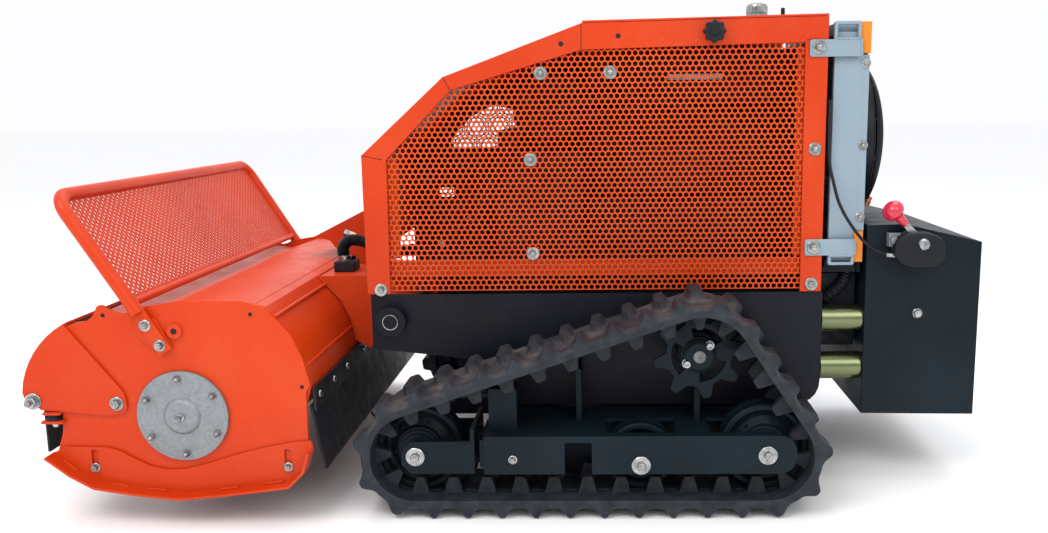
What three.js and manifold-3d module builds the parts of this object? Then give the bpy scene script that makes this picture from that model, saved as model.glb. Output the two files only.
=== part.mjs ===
// Tracked carrier with a front grinding head.
// Millimetres. +X points to the rear, +Y to the machine's right, +Z up; the track lugs stand on z = 0.

import * as THREE from 'three';
import { mergeVertices } from 'three/addons/utils/BufferGeometryUtils.js';
import Module from 'manifold-3d';

const wasm = await Module();
wasm.setup();

// ---------- driving dimensions ----------

const GAP = 0.4;
const SIDES = { left: -1, right: 1 };

const BELT = {
  centre: 420, width: 200, pitch: 72, pitches: 31, thickness: 20.5,
  lugHeight: 17.5, lugBase: 40, lugTip: 11, guideHeight: 36, guideBase: 38, guideTip: 17,
  guideInner: 33, guideOuter: 51, cordDepth: 4, phase: 23.4,
};
const IDLER = { frontX: -214, rearX: 525, z: 131.5, radius: 92.5 };
const ROLLER = { x: 261, z: 111.5, radius: 72.5 };
const SPROCKET = { x: 386, z: 328, teeth: 8, tip: 98, root: 72, loop: 100 };
const AXLE_RADIUS = 10;

const BEAM = { outer: 505, inner: 343, plate: 8, bottom: 91.5, top: 174.5, front: -70, end: 544 };
const CHASSIS = { half: 290, plate: 8, top: 438.5, floor: 180, front: -342, step: -64, rear: 673 };
const PIVOT = { x: -295, z: 380, boss: 34, pin: 18 };

const HOOD = { half: 300, sheet: 6, bottom: 441, mesh: 447, front: -347, rear: 668 };
const HOOD_LINE = [[-347, 751], [-162, 918], [140, 1028], [668, 1036]];
const TRIM_LINE = [[-292, 741], [-146, 890], [139, 972], [619, 982]];

const FAN = { z: 770, guard: 178, blade: 150, x: 796 };
const BOX = { front: 765, half: 300, sheet: 4 };
const TIE_TUBE = { radius: 31, y: 262, levels: { lower: 263, upper: 373 } };
const THROTTLE = { x: 880, z: 549, y: -329, half: 21 };

const HEAD = { half: 530, plate: 8, rotorX: -686.4, rotorZ: 232.5, rotorTip: 165 };
const DOOR_PIVOT = { x: -824.5, z: 256.8 };
const DOOR = { radius: 196, top: 119, bridge: 145 };
const ARM = { outer: 130, plate: 12, top: 456, coverEnd: 270 };
const ROD_EYE = { x: -335, z: 300 };
const BARREL_EYE = { x: 60, z: 290 };

// ---------- paints ----------

const paint = (color, roughness, metalness) =>
  new THREE.MeshStandardMaterial({ color, roughness, metalness });
const LOOKS = {
  orange: () => paint('#ea522a', 0.38, 0.0),
  amber: () => paint('#f2953e', 0.4, 0.0),
  dark: () => paint('#24303a', 0.45, 0.2),
  grey: () => paint('#a3b5c3', 0.42, 0.2),
  zinc: () => paint('#b9bdc0', 0.32, 0.9),
  plated: () => paint('#a8a25c', 0.28, 0.9),
  steel: () => paint('#8d9196', 0.35, 0.9),
  rubber: () => paint('#2b2a2e', 0.85, 0.0),
  black: () => paint('#17191d', 0.6, 0.1),
  red: () => paint('#c81c3a', 0.3, 0.0),
};

// ---------- solids ----------

function toSolid(geometry) {
  const bare = geometry.index ? geometry.toNonIndexed() : geometry.clone();
  for (const name of ['normal', 'uv']) bare.deleteAttribute(name);
  const merged = mergeVertices(bare, 1e-3);
  const vertProperties = new Float32Array(merged.attributes.position.array);
  const triVerts = new Uint32Array(merged.index.array);
  const solid = new wasm.Manifold(new wasm.Mesh({ numProp: 3, vertProperties, triVerts }));
  if (solid.volume() > 0) return solid;
  const flipped = triVerts.slice().reverse();
  return new wasm.Manifold(new wasm.Mesh({ numProp: 3, vertProperties, triVerts: flipped }));
}

function toGeometry(solid) {
  const { vertProperties, triVerts } = solid.getMesh();
  const geometry = new THREE.BufferGeometry();
  geometry.setAttribute('position', new THREE.BufferAttribute(new Float32Array(vertProperties), 3));
  geometry.setIndex(new THREE.BufferAttribute(new Uint32Array(triVerts), 1));
  geometry.computeVertexNormals();
  return geometry;
}

const join = (...geometries) => geometries.map(toSolid).reduce((whole, piece) => whole.add(piece));
const cut = (solid, ...tools) => tools.map(toSolid).reduce((whole, tool) => whole.subtract(tool), solid);

// A closed outline in X and Z. A third number on a point rounds that corner over that length.
function outline(points) {
  const shape = new THREE.Shape();
  const corners = points.map(([x, z]) => new THREE.Vector2(x, z));
  points.forEach(([, , round = 0], i) => {
    const corner = corners[i];
    const toward = (other) => other.clone().sub(corner).setLength(round).add(corner);
    const enter = round ? toward(corners.at(i - 1)) : corner;
    if (i === 0) shape.moveTo(enter.x, enter.y);
    else shape.lineTo(enter.x, enter.y);
    if (round) {
      const leave = toward(corners[(i + 1) % corners.length]);
      shape.quadraticCurveTo(corner.x, corner.y, leave.x, leave.y);
    }
  });
  shape.closePath();
  return shape;
}

// An outline given thickness along Y, between two places in either order.
function plateY(shape, yA, yB, curveSegments = 6) {
  const depth = Math.abs(yB - yA);
  const geometry = new THREE.ExtrudeGeometry(shape, { depth, bevelEnabled: false, curveSegments });
  geometry.rotateX(Math.PI / 2);
  geometry.translate(0, Math.max(yA, yB), 0);
  return geometry;
}

function box(xA, xB, yA, yB, zA, zB) {
  const geometry = new THREE.BoxGeometry(Math.abs(xB - xA), Math.abs(yB - yA), Math.abs(zB - zA));
  geometry.translate((xA + xB) / 2, (yA + yB) / 2, (zA + zB) / 2);
  return geometry;
}

// A round bar between two points.
function bar(from, to, radius, sides = 16) {
  const start = new THREE.Vector3(...from);
  const run = new THREE.Vector3(...to).sub(start);
  const geometry = new THREE.CylinderGeometry(radius, radius, run.length(), sides);
  geometry.applyQuaternion(new THREE.Quaternion().setFromUnitVectors(
    new THREE.Vector3(0, 1, 0), run.clone().normalize()));
  const middle = start.addScaledVector(run, 0.5);
  geometry.translate(middle.x, middle.y, middle.z);
  return geometry;
}

function barY(x, z, radius, yA, yB, sides) {
  return bar([x, Math.min(yA, yB), z], [x, Math.max(yA, yB), z], radius, sides);
}

function ball(x, y, z, radius, sides = 8) {
  const geometry = new THREE.SphereGeometry(radius, sides, sides / 2);
  geometry.translate(x, y, z);
  return geometry;
}

// A soft run of hose or cable through points held by hand.
function cord(points, radius, steps, sides = 8) {
  const section = new THREE.Shape();
  for (let i = 0; i < sides; i += 1) {
    const angle = (i / sides) * 2 * Math.PI;
    const place = [radius * Math.cos(angle), radius * Math.sin(angle)];
    if (i === 0) section.moveTo(...place);
    else section.lineTo(...place);
  }
  section.closePath();
  const extrudePath = new THREE.CatmullRomCurve3(points.map((p) => new THREE.Vector3(...p)));
  return new THREE.ExtrudeGeometry(section, { extrudePath, steps, bevelEnabled: false });
}

// The outline of a bent sheet: the given line, and the same line set in by the sheet's thickness.
function bentSheet(points, thickness) {
  const line = points.map(([x, z]) => new THREE.Vector2(x, z));
  const inner = line.map((corner, i) => {
    const before = line[Math.max(i - 1, 0)];
    const after = line[Math.min(i + 1, line.length - 1)];
    const arriving = (i > 0 ? corner.clone().sub(before) : after.clone().sub(corner)).normalize();
    const leaving = (i < line.length - 1 ? after.clone().sub(corner) : arriving.clone()).normalize();
    const middle = arriving.clone().add(leaving).normalize();
    const reach = thickness / Math.max(middle.dot(arriving), 0.3);
    return new THREE.Vector2(corner.x + middle.y * reach, corner.y - middle.x * reach);
  });
  return new THREE.Shape([...line, ...inner.reverse()]);
}

// ---------- the assembly ----------

const machine = new THREE.Group();

function place(name, shape, look, position = [0, 0, 0]) {
  const geometry = toGeometry(shape.isBufferGeometry ? toSolid(shape) : shape);
  const mesh = new THREE.Mesh(geometry, LOOKS[look]());
  mesh.name = name;
  mesh.position.set(...position);
  machine.add(mesh);
  return mesh;
}

// ---------- belt ----------

// The belt's inner line: arcs round the wheels joined by straight runs, each with its length at pitch.
function beltRoute() {
  const wheels = [
    { x: IDLER.frontX, z: IDLER.z, r: IDLER.radius + 1 },
    { x: IDLER.rearX, z: IDLER.z, r: IDLER.radius + 1 },
    { x: SPROCKET.x, z: SPROCKET.z, r: SPROCKET.loop },
  ];
  const runs = wheels.map((wheel, i) => {
    const next = wheels[(i + 1) % wheels.length];
    const span = Math.hypot(next.x - wheel.x, next.z - wheel.z);
    const heading = Math.atan2(next.z - wheel.z, next.x - wheel.x);
    const angle = heading - Math.acos((wheel.r - next.r) / span);
    return { wheel, next, angle, length: Math.sqrt(span ** 2 - (wheel.r - next.r) ** 2) };
  });
  return runs.flatMap((run, i) => {
    const start = runs.at(i - 1).angle;
    const turn = (run.angle - start + 4 * Math.PI) % (2 * Math.PI);
    const arc = { centre: run.wheel, from: start, turn, length: turn * (run.wheel.r + BELT.cordDepth) };
    return [arc, { ...run, straight: true }];
  });
}

function beltPlace(route, fraction) {
  let left = fraction * route.reduce((sum, piece) => sum + piece.length, 0);
  const piece = route.find((candidate) => {
    if (left <= candidate.length) return true;
    left -= candidate.length;
    return false;
  });
  const share = left / piece.length;
  if (!piece.straight) {
    const angle = piece.from + piece.turn * share;
    const { x, z, r } = piece.centre;
    return { x: x + r * Math.cos(angle), z: z + r * Math.sin(angle), angle };
  }
  const { wheel, next, angle } = piece;
  const at = (a, b) => a + (b - a) * share;
  return {
    x: at(wheel.x + wheel.r * Math.cos(angle), next.x + next.r * Math.cos(angle)),
    z: at(wheel.z + wheel.r * Math.sin(angle), next.z + next.r * Math.sin(angle)),
    angle,
  };
}

function beltLoop(route, offset) {
  const arcs = route.filter((piece) => !piece.straight);
  const addArcs = (path) => {
    for (const { centre, from, turn } of arcs) {
      path.absarc(centre.x, centre.z, centre.r + offset, from, from + turn, false);
    }
    return path;
  };
  return addArcs(offset ? new THREE.Shape() : new THREE.Path());
}

function lug(where, base, tip, from, to, yA, yB) {
  const shape = new THREE.Shape([[-base / 2, from], [base / 2, from], [tip / 2, to], [-tip / 2, to]]
    .map(([along, out]) => new THREE.Vector2(along, out)));
  const geometry = plateY(shape, yA, yB);
  geometry.rotateY(Math.PI / 2 - where.angle);
  geometry.translate(where.x, 0, where.z);
  return geometry;
}

function buildBelt(side) {
  const route = beltRoute();
  const band = beltLoop(route, BELT.thickness);
  band.holes.push(beltLoop(route, 0));
  const middle = side * BELT.centre;
  const edge = side * BELT.width / 2;
  const pieces = [plateY(band, middle - edge, middle + edge, 10)];
  for (let i = 0; i < BELT.pitches; i += 1) {
    const near = beltPlace(route, ((i + BELT.phase / BELT.pitch) / BELT.pitches) % 1);
    const far = beltPlace(route, ((i + 0.5 + BELT.phase / BELT.pitch) / BELT.pitches) % 1);
    const top = BELT.thickness + BELT.lugHeight;
    const root = BELT.thickness - 2;
    pieces.push(lug(near, BELT.lugBase, BELT.lugTip, root, top, middle + edge, middle));
    pieces.push(lug(far, BELT.lugBase, BELT.lugTip, root, top, middle - edge, middle));
    for (const row of [-1, 1]) {
      const rowFrom = middle + row * BELT.guideInner;
      const rowTo = middle + row * BELT.guideOuter;
      pieces.push(lug(far, BELT.guideBase, BELT.guideTip, 2, -BELT.guideHeight, rowFrom, rowTo));
    }
  }
  return join(...pieces);
}

// ---------- undercarriage ----------

function buildWheel(radius) {
  const half = 29;
  const bore = AXLE_RADIUS + GAP;
  const profile = [
    [bore, -half], [28, -half], [radius - 24, -12], [radius - 12, -half], [radius, -half],
    [radius, half], [radius - 12, half], [radius - 24, 12], [28, half], [bore, half], [bore, -half],
  ].map(([r, y]) => new THREE.Vector2(r, y));
  return toSolid(new THREE.LatheGeometry(profile, 18));
}

function buildSprocket(side) {
  const teeth = [];
  for (let i = 0; i < SPROCKET.teeth; i += 1) {
    const middle = (i / SPROCKET.teeth) * 2 * Math.PI + Math.PI / 16;
    for (const [radius, turn] of [[SPROCKET.root, -0.24], [SPROCKET.tip, -0.1], [SPROCKET.tip, 0.1],
      [SPROCKET.root, 0.24]]) {
      teeth.push(new THREE.Vector2(radius * Math.cos(middle + turn), radius * Math.sin(middle + turn)));
    }
  }
  const wheel = new THREE.Shape(teeth);
  for (let i = 0; i < 3; i += 1) {
    const from = (i / 3) * 2 * Math.PI + 0.55;
    const window = new THREE.Path();
    window.absarc(0, 0, 58, from, from + 1.35, false);
    window.absarc(0, 0, 38, from + 1.35, from, true);
    window.closePath();
    wheel.holes.push(window);
  }
  const hub = barY(0, 0, 31, side * -19, side * 22, 20);
  const shaft = barY(0, 0, 15, side * 20, side * 26, 16);
  return join(plateY(wheel, -6, 6), hub, shaft);
}

function buildTrackFrame(side) {
  const { outer, inner, plate, bottom, top, front, end } = BEAM;
  const profile = outline([
    [front, top], [front, bottom], [100, bottom], [100, 160.5, 4], [157, 160.5, 4], [157, bottom],
    [585, bottom, 40], [585, top, 40],
  ]);
  const frame = join(
    plateY(profile, side * outer, side * (outer - plate), 5),
    plateY(profile, side * inner, side * (inner - plate), 5),
    box(front, end - 3, side * (outer - 2), side * (CHASSIS.half + GAP), top - 7, top),
    box(122, 134, side * 392, side * (CHASSIS.half + GAP), top - 2, 290),
    box(380, 392, side * 392, side * (CHASSIS.half + GAP), top - 2, 266),
    box(-64, -4, side * 449, side * 391, top - 2, 262),
    barY(ROLLER.x, ROLLER.z, AXLE_RADIUS, side * (outer + 3), side * (inner - plate), 14),
    barY(IDLER.rearX, IDLER.z, AXLE_RADIUS, side * (outer + 3), side * (inner - plate), 14),
  );
  const mouth = (from, to) => box(from, to, side * 481, side * 382, top - 20, top + 10);
  return cut(frame, mouth(187, 335), mouth(405, end + 10));
}

function buildYoke(side) {
  const { outer, inner, plate } = BEAM;
  const arm = outline([[-244, 143], [-244, 113], [-224, 93], [-97, 93], [-97, 163.5], [-224, 163.5]]);
  return join(
    plateY(arm, side * outer, side * (outer - plate)),
    plateY(arm, side * inner, side * (inner - plate)),
    box(-98, -89, side * outer, side * (inner - plate), 93, 190),
    box(-90, BEAM.front - GAP, side * 445, side * 395, 120, 163),
    barY(IDLER.frontX, IDLER.z, AXLE_RADIUS, side * (outer + 3), side * (inner - plate), 14),
  );
}

function addUndercarriage(name, side) {
  const middle = side * BELT.centre;
  place(`rubber_track_${name}`, buildBelt(side), 'rubber');
  place(`track_frame_${name}`, buildTrackFrame(side), 'dark');
  place(`tensioner_yoke_${name}`, buildYoke(side), 'dark');
  place(`front_idler_${name}`, buildWheel(IDLER.radius), 'dark', [IDLER.frontX, middle, IDLER.z]);
  place(`rear_idler_${name}`, buildWheel(IDLER.radius), 'dark', [IDLER.rearX, middle, IDLER.z]);
  place(`mid_roller_${name}`, buildWheel(ROLLER.radius), 'dark', [ROLLER.x, middle, ROLLER.z]);
  place(`drive_sprocket_${name}`, buildSprocket(side), 'dark', [SPROCKET.x, middle, SPROCKET.z]);
  const motor = join(
    barY(SPROCKET.x, SPROCKET.z, 58, side * (CHASSIS.half + GAP), side * 304, 20),
    barY(SPROCKET.x, SPROCKET.z, 44, side * 302, side * 400, 20),
  );
  place(`travel_motor_${name}`, motor, 'black');
}

// ---------- chassis ----------

function buildChassis() {
  const { half, plate, top, floor, rear, step } = CHASSIS;
  const profile = outline([
    [CHASSIS.front, top], [CHASSIS.front, 314], [-99, 285], [step, floor], [rear, floor, 60], [rear, top],
  ]);
  const inside = half - plate + 1;
  const pieces = [
    box(step, 612, -inside, inside, floor, floor + 8),
    box(step, rear, -inside, inside, top - 8, top),
    box(step, step + 8, -inside, inside, floor, top),
    box(rear - 8, rear, -inside, inside, 242, top),
  ];
  for (const side of Object.values(SIDES)) {
    pieces.push(plateY(profile, side * half, side * (half - plate), 5));
    pieces.push(barY(PIVOT.x, PIVOT.z, PIVOT.boss, side * (half - plate), side * 315, 24));
    pieces.push(plateY(outline([[15, floor + 6], [105, floor + 6], [80, 312, 20], [40, 312, 20]]),
      side * 40, side * 32));
  }
  pieces.push(barY(BARREL_EYE.x, BARREL_EYE.z, 10, -40, 40, 14));
  const window = box(step - 10, step + 20, -110, 110, 215, 375);
  const bore = barY(PIVOT.x, PIVOT.z, PIVOT.pin + GAP, -400, 400, 24);
  return cut(join(...pieces), window, bore);
}

function addChassis() {
  place('chassis_frame', buildChassis(), 'dark');
  place('lift_pivot_pin', barY(PIVOT.x, PIVOT.z, PIVOT.pin, -318, 318, 24), 'plated');
  for (const [name, side] of Object.entries(SIDES)) {
    for (const [level, z] of Object.entries(TIE_TUBE.levels)) {
      const from = [CHASSIS.rear + GAP, side * TIE_TUBE.y, z];
      const to = [BOX.front - GAP, side * TIE_TUBE.y, z];
      place(`tie_tube_${level}_${name}`, bar(from, to, TIE_TUBE.radius, 20), 'plated');
    }
  }
}

// ---------- rear box ----------

function addRearBox() {
  const { half, sheet } = BOX;
  const top = [[765, 588], [846, 590], [1017, 549]];
  const side = outline([...top, [1017, 156], [765, 159]]);
  const hollow = outline([[769, 584], [845, 586], [1013, 546], [1013, 140], [769, 140]]);
  const shell = cut(join(plateY(side, -half, half)), plateY(hollow, -half + sheet, half - sheet));
  place('rear_box', shell, 'dark');
}

// ---------- hood ----------

function addHoodSide(name, side) {
  const { half, sheet, bottom, rear } = HOOD;
  const edge = outline([[HOOD.front, bottom], ...HOOD_LINE, [rear - 1, bottom], [620, bottom],
    ...[...TRIM_LINE].reverse(), [-295, bottom]]);
  place(`side_frame_${name}`, plateY(edge, side * half, side * (half - sheet)), 'orange');
  const cover = TRIM_LINE.map(([x, z]) => [x, z + 10]);
  const mesh = outline([[-305, HOOD.mesh], [-305, 748], ...cover.slice(1, 3), [632, 990], [632, HOOD.mesh]]);
  place(`side_mesh_${name}`, plateY(mesh, side * (half - sheet - GAP), side * (half - sheet - 3)), 'orange');
  const knob = new THREE.Shape();
  knob.absarc(0, 0, 22, 0, 2 * Math.PI, false);
  const grip = plateY(knob, -half - 12, -half - 30, 5);
  const stem = barY(0, 0, 9, -half - 14, -half - GAP, 12);
  const levelBar = box(-26, 26, -half - 28, -half - 14, -5, 5);
  const uprightBar = box(-5, 5, -half - 28, -half - 14, -26, 26);
  const turned = join(grip, stem, levelBar, uprightBar);
  const knobMesh = place(`clamp_knob_${name}`, turned, 'black', [423, 0, 1006]);
  if (side > 0) knobMesh.rotation.z = Math.PI;
}

function addHood() {
  for (const [name, side] of Object.entries(SIDES)) addHoodSide(name, side);
  const inside = HOOD.half - HOOD.sheet - 3 - GAP;
  const frontLine = [[HOOD.front, 522], [HOOD.front, 750], [-162, 917], [139, 1027]];
  place('hood_front_panel', plateY(bentSheet(frontLine, 3), -inside, inside), 'orange');
  const lid = outline([[142, 1028.8], [491, 1034], [491, 1038.5], [142, 1033.3]]);
  place('bonnet_lid', plateY(lid, -HOOD.half, HOOD.half), 'orange');
  const rearTop = plateY(outline([[492, 1034.2], [668, 1036.8], [668, 1041.3], [492, 1038.7]]),
    -HOOD.half, HOOD.half);
  const neck = bar([543, -100, 1036], [543, -100, 1053], 20, 20);
  const post = bar([603, -100, 1036], [603, -100, 1071], 4, 10);
  place('hood_rear_top', join(rearTop, neck, post), 'orange');
  const cap = bar([0, 0, 0], [0, 0, 29], 25, 24);
  place('filler_cap', cap, 'zinc', [543, -100, 1053 + GAP]);
}

// ---------- engine bay ----------

function addEngineBay() {
  const engine = cut(join(
    box(150, 540, -150, 150, 439, 640),
    box(190, 470, -120, 120, 630, 850),
    bar([535, 0, 575], [640, 0, 575], 125, 24),
    box(230, 430, -200, -110, 660, 760),
  ), box(160, 530, -140, 140, 430, 630), box(200, 460, -110, 110, 620, 838));
  place('engine_block', engine, 'black');
  const pump = join(
    bar([20, 0, 560], [149, 0, 560], 55, 20),
    box(-40, 60, -45, 45, 515, 610),
  );
  place('hydraulic_pump', pump, 'steel');
  const core = join(box(686, 744, -286, 286, 528, 1002), box(682, 750, -290, 290, 506, 530),
    box(682, 750, -290, 290, 1000, 1025));
  place('radiator', core, 'grey');
  const mount = join(
    box(680, 760, -262, 262, 478, 505),
    box(751, 760, -270, 270, 478, 572),
    box(751, 760, -270, -220, 478, 1025),
    box(751, 760, 220, 270, 478, 1025),
    box(751, 760, -270, 270, 958, 1025),
    box(669, 700, -262, 262, 478, 490),
  );
  place('radiator_mount', mount, 'amber');
  place('fan_guard', buildFanGuard(), 'black');
  place('cooling_fan', buildFan(), 'black', [FAN.x, 0, FAN.z]);
}

function buildFanGuard() {
  const profile = [[FAN.guard, 761], [FAN.guard, 800], [150, 829], [90, 848], [0, 857],
    [0, 854], [89, 845], [148, 826], [FAN.guard - 3, 799], [FAN.guard - 3, 761], [FAN.guard, 761]]
    .map(([radius, x]) => new THREE.Vector2(radius, x));
  const geometry = new THREE.LatheGeometry(profile, 28);
  geometry.rotateZ(-Math.PI / 2);
  geometry.translate(0, 0, FAN.z);
  return toSolid(geometry);
}

function buildFan() {
  const hub = bar([-26, 0, 0], [22, 0, 0], 38, 18);
  const pieces = [hub];
  for (let i = 0; i < 6; i += 1) {
    const blade = new THREE.BoxGeometry(4, 62, FAN.blade - 32);
    blade.rotateZ(0.5);
    blade.translate(0, 0, (FAN.blade + 32) / 2);
    blade.rotateX((i / 6) * 2 * Math.PI);
    pieces.push(blade);
  }
  return join(...pieces);
}

// ---------- throttle ----------

function addThrottle() {
  const { x, z, y, half } = THROTTLE;
  const oval = outline([[818, 497], [931, 497], [931, 576, 55], [818, 576, 55]]);
  const slot = box(800, 950, y - 5, y + 5, 528, 600);
  const foot = box(850, 910, y + half - 1, -BOX.half - GAP, 500, 530);
  const housing = cut(join(plateY(oval, y - half, y + half), foot), slot,
    barY(x, z, 14, y - 5, y + 5, 20));
  place('throttle_housing', housing, 'dark');
  const reach = new THREE.Vector2(810 - x, 624 - z);
  const along = (share) => [reach.x * share, 0, reach.y * share];
  const blade = bar(along(0.06), along(0.8), 4, 8);
  const knob = new THREE.SphereGeometry(26, 16, 10);
  knob.scale(1.08, 1, 0.92);
  knob.translate(reach.x, 0, reach.y);
  const eye = barY(0, 0, 11, -4, 4, 16);
  place('throttle_lever', join(blade, knob, eye), 'red', [x, y, z]);
  const cable = cord([[816, y, 525], [804, -328, 526], [765, -326, 543], [728, -322, 585], [699, -317, 635],
    [684, -310, 688], [676, -305, 731], [674, -304, 800], [674, -304, 860]], 3.5, 34);
  place('throttle_cable', cable, 'black');
}

// ---------- lift ----------

function addLift() {
  const { x: rodX, z: rodZ } = ROD_EYE;
  const { x: barrelX, z: barrelZ } = BARREL_EYE;
  const run = new THREE.Vector2(rodX - barrelX, rodZ - barrelZ);
  const length = run.length();
  const along = (distance) => [barrelX + run.x * distance / length, 0, barrelZ + run.y * distance / length];
  const barrel = cut(join(
    barY(barrelX, barrelZ, 24, -20, 20, 20),
    bar(along(15), along(235), 30, 20),
  ), barY(barrelX, barrelZ, 10 + GAP, -40, 40, 16), bar(along(45), along(240), 15 + GAP, 18));
  place('lift_cylinder_barrel', barrel, 'black');
  const rod = cut(join(
    bar(along(150), along(length - 10), 15, 18),
    barY(rodX, rodZ, 20, -14, 14, 18),
  ), barY(rodX, rodZ, 11, -40, 40, 16));
  place('lift_cylinder_rod', rod, 'steel');
}

// ---------- head ----------

function buildArms() {
  const arm = outline([[-505, ARM.top], [-452.5, 398], [-430, 348.5], [-418, 294], [-407, 290], [-388, 277],
    [-342, 316], [-266, 342, 16], [-254, 380, 16], [-266, 418, 16], [-300, 424, 16], [-352, ARM.top]]);
  const lug = outline([[-395, 345], [-372, 345], [-318, 306, 10], [-326, 284, 10], [-350, 292]]);
  const cheek = outline([[-498, ARM.top - 6], [-440, ARM.top - 6], [-446, 587], [-578, 522], [-540, 508]]);
  const lid = bentSheet([[-582, 520], [-448, 587]], 5);
  const inner = ARM.outer - 2;
  const pieces = [];
  for (const side of Object.values(SIDES)) {
    pieces.push(plateY(arm, side * ARM.outer, side * (ARM.outer - ARM.plate), 4));
    pieces.push(plateY(lug, side * 30, side * 18, 4));
  }
  pieces.push(box(-500, -362, -inner, 60, ARM.top - 7, ARM.top));
  pieces.push(box(-476, -436, -70, -30, ARM.top - 2, 477.3));
  pieces.push(barY(-380, 352, 24, -inner, inner, 18));
  pieces.push(barY(ROD_EYE.x, ROD_EYE.z, 8, -30, 30, 14));
  pieces.push(box(-500, -440, inner, ARM.coverEnd, ARM.top - 7, ARM.top));
  pieces.push(plateY(lid, ARM.outer - 6, ARM.coverEnd));
  for (const y of [ARM.outer - 6, ARM.coverEnd - 6]) {
    pieces.push(plateY(cheek, y, y + 6));
  }
  return cut(join(...pieces), barY(PIVOT.x, PIVOT.z, PIVOT.pin + GAP, -400, 400, 24));
}

function buildSidePlate(side) {
  const inner = HEAD.half - HEAD.plate;
  const { x, z } = DOOR_PIVOT;
  const crown = outline([
    [-432, 120], [-431, 177], [-429, 280], [-420, 295], [-433, 352], [-455, 401], [-509, 461], [-553, 472],
    [-675, 473], [-727, 465, 16], [-764, 459, 14], [-791, 446.5, 12], [-816, 452, 8], [-838, 465, 4],
    [-848, 464, 4], [-858, 443, 8], [-872, 431.5, 8], [-896, 429], [-917, 421], [-930, 330], [-944, 195],
    [-958, 154], [-950, 132], [-905, 106], [-850, 84], [-700, 72], [-540, 83], [-440, 110],
  ]);
  const boss = barY(-691, 411, 16, side * (HEAD.half - 1), side * (HEAD.half + 7), 14);
  const pivot = barY(x, z, 10, side * (HEAD.half - 1), side * (HEAD.half + 12), 14);
  const plate = join(plateY(crown, side * HEAD.half, side * inner, 4), boss, pivot);
  return cut(plate, barY(HEAD.rotorX, HEAD.rotorZ, 34, side * 500, side * 560, 20));
}

function buildSkid(side) {
  const inner = HEAD.half + GAP;
  const under = [[-968, 151], [-918, 112], [-870, 85], [-783, 71], [-693, 61], [-594, 70], [-465, 86],
    [-433, 117], [-419, 160]];
  const upper = [[-423, 178], [-462, 174.5], [-523, 163], [-585, 147], [-640, 130], [-687, 118], [-726, 116],
    [-763, 124], [-793, 139], [-822, 156], [-852, 165], [-940, 167]];
  const plate = plateY(outline([...under, ...upper]), side * inner, side * (inner + 6));
  const flange = plateY(bentSheet([...under].reverse(), 5), side * inner, side * 570);
  const slot = (x) => plateY(outline([[x - 7, 113, 5], [x + 7, 113, 5], [x + 7, 160, 5], [x - 7, 160, 5]]),
    side * 500, side * 600);
  return cut(join(plate, flange), slot(-878), slot(-473));
}

function buildRotor() {
  const end = HEAD.half - 2;
  const tube = cut(toSolid(barY(0, 0, 95, -500, 500, 24)), barY(0, 0, 82, -510, 510, 24));
  const webs = [-490, 0, 490].map((y) => barY(0, 0, 84, y - 6, y + 6, 24));
  const vent = (y) => [0, 1, 2].map((i) => {
    const angle = (i / 3) * 2 * Math.PI;
    return barY(54 * Math.cos(angle), 54 * Math.sin(angle), 12, y - 9, y + 9, 8);
  });
  const drum = tube.add(cut(join(barY(0, 0, 28, -end, end, 16), ...webs), ...[-490, 0, 490].flatMap(vent)));
  const rows = 18;
  const teeth = [];
  for (let i = 0; i < rows; i += 1) {
    const y = -470 + (940 * i) / (rows - 1);
    const tooth = join(box(-24, 24, -16, 16, 88, 130), box(-6, 26, -13, 13, 125, HEAD.rotorTip - 3));
    const turn = (i * 5 * 2 * Math.PI) / 12;
    teeth.push(tooth.rotate([0, THREE.MathUtils.radToDeg(turn), 0]).translate([0, y, 0]));
  }
  return teeth.reduce((whole, tooth) => whole.add(tooth), drum);
}

// The door's sheet follows an arc about its own pivot, so that it swings up over the shell.
function buildDoor() {
  const { x, z } = DOOR_PIVOT;
  const arc = (radius, from, to, steps) => Array.from({ length: steps + 1 }, (_, i) => {
    const angle = THREE.MathUtils.degToRad(from + ((to - from) * i) / steps);
    return [x + radius * Math.cos(angle), z + radius * Math.sin(angle)];
  });
  const lip = [[-1017, 284], [-1014, 272], [-996, 262], [-982, 246]];
  const ends = HEAD.half + GAP;
  const between = HEAD.half - HEAD.plate - 2 * GAP;
  const sheet = bentSheet([...arc(DOOR.radius, DOOR.top, 165, 7), ...lip].reverse(), 5);
  const bridge = bentSheet([...arc(DOOR.radius, DOOR.bridge, 165, 4), ...lip].reverse(), 5);
  const cheek = outline([...arc(DOOR.radius - 1, DOOR.top, 165, 7), ...lip, [-830, 233, 16], [-800, 244, 12],
    [-804, 281, 12]]);
  const pieces = [plateY(sheet, -between, between)];
  for (const side of Object.values(SIDES)) {
    pieces.push(plateY(bridge, side * (between - 1), side * (ends + 1)));
    pieces.push(plateY(cheek, side * ends, side * (ends + 6), 4));
  }
  return cut(join(...pieces), barY(x, z, 10 + GAP, -600, 600, 16));
}

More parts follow.
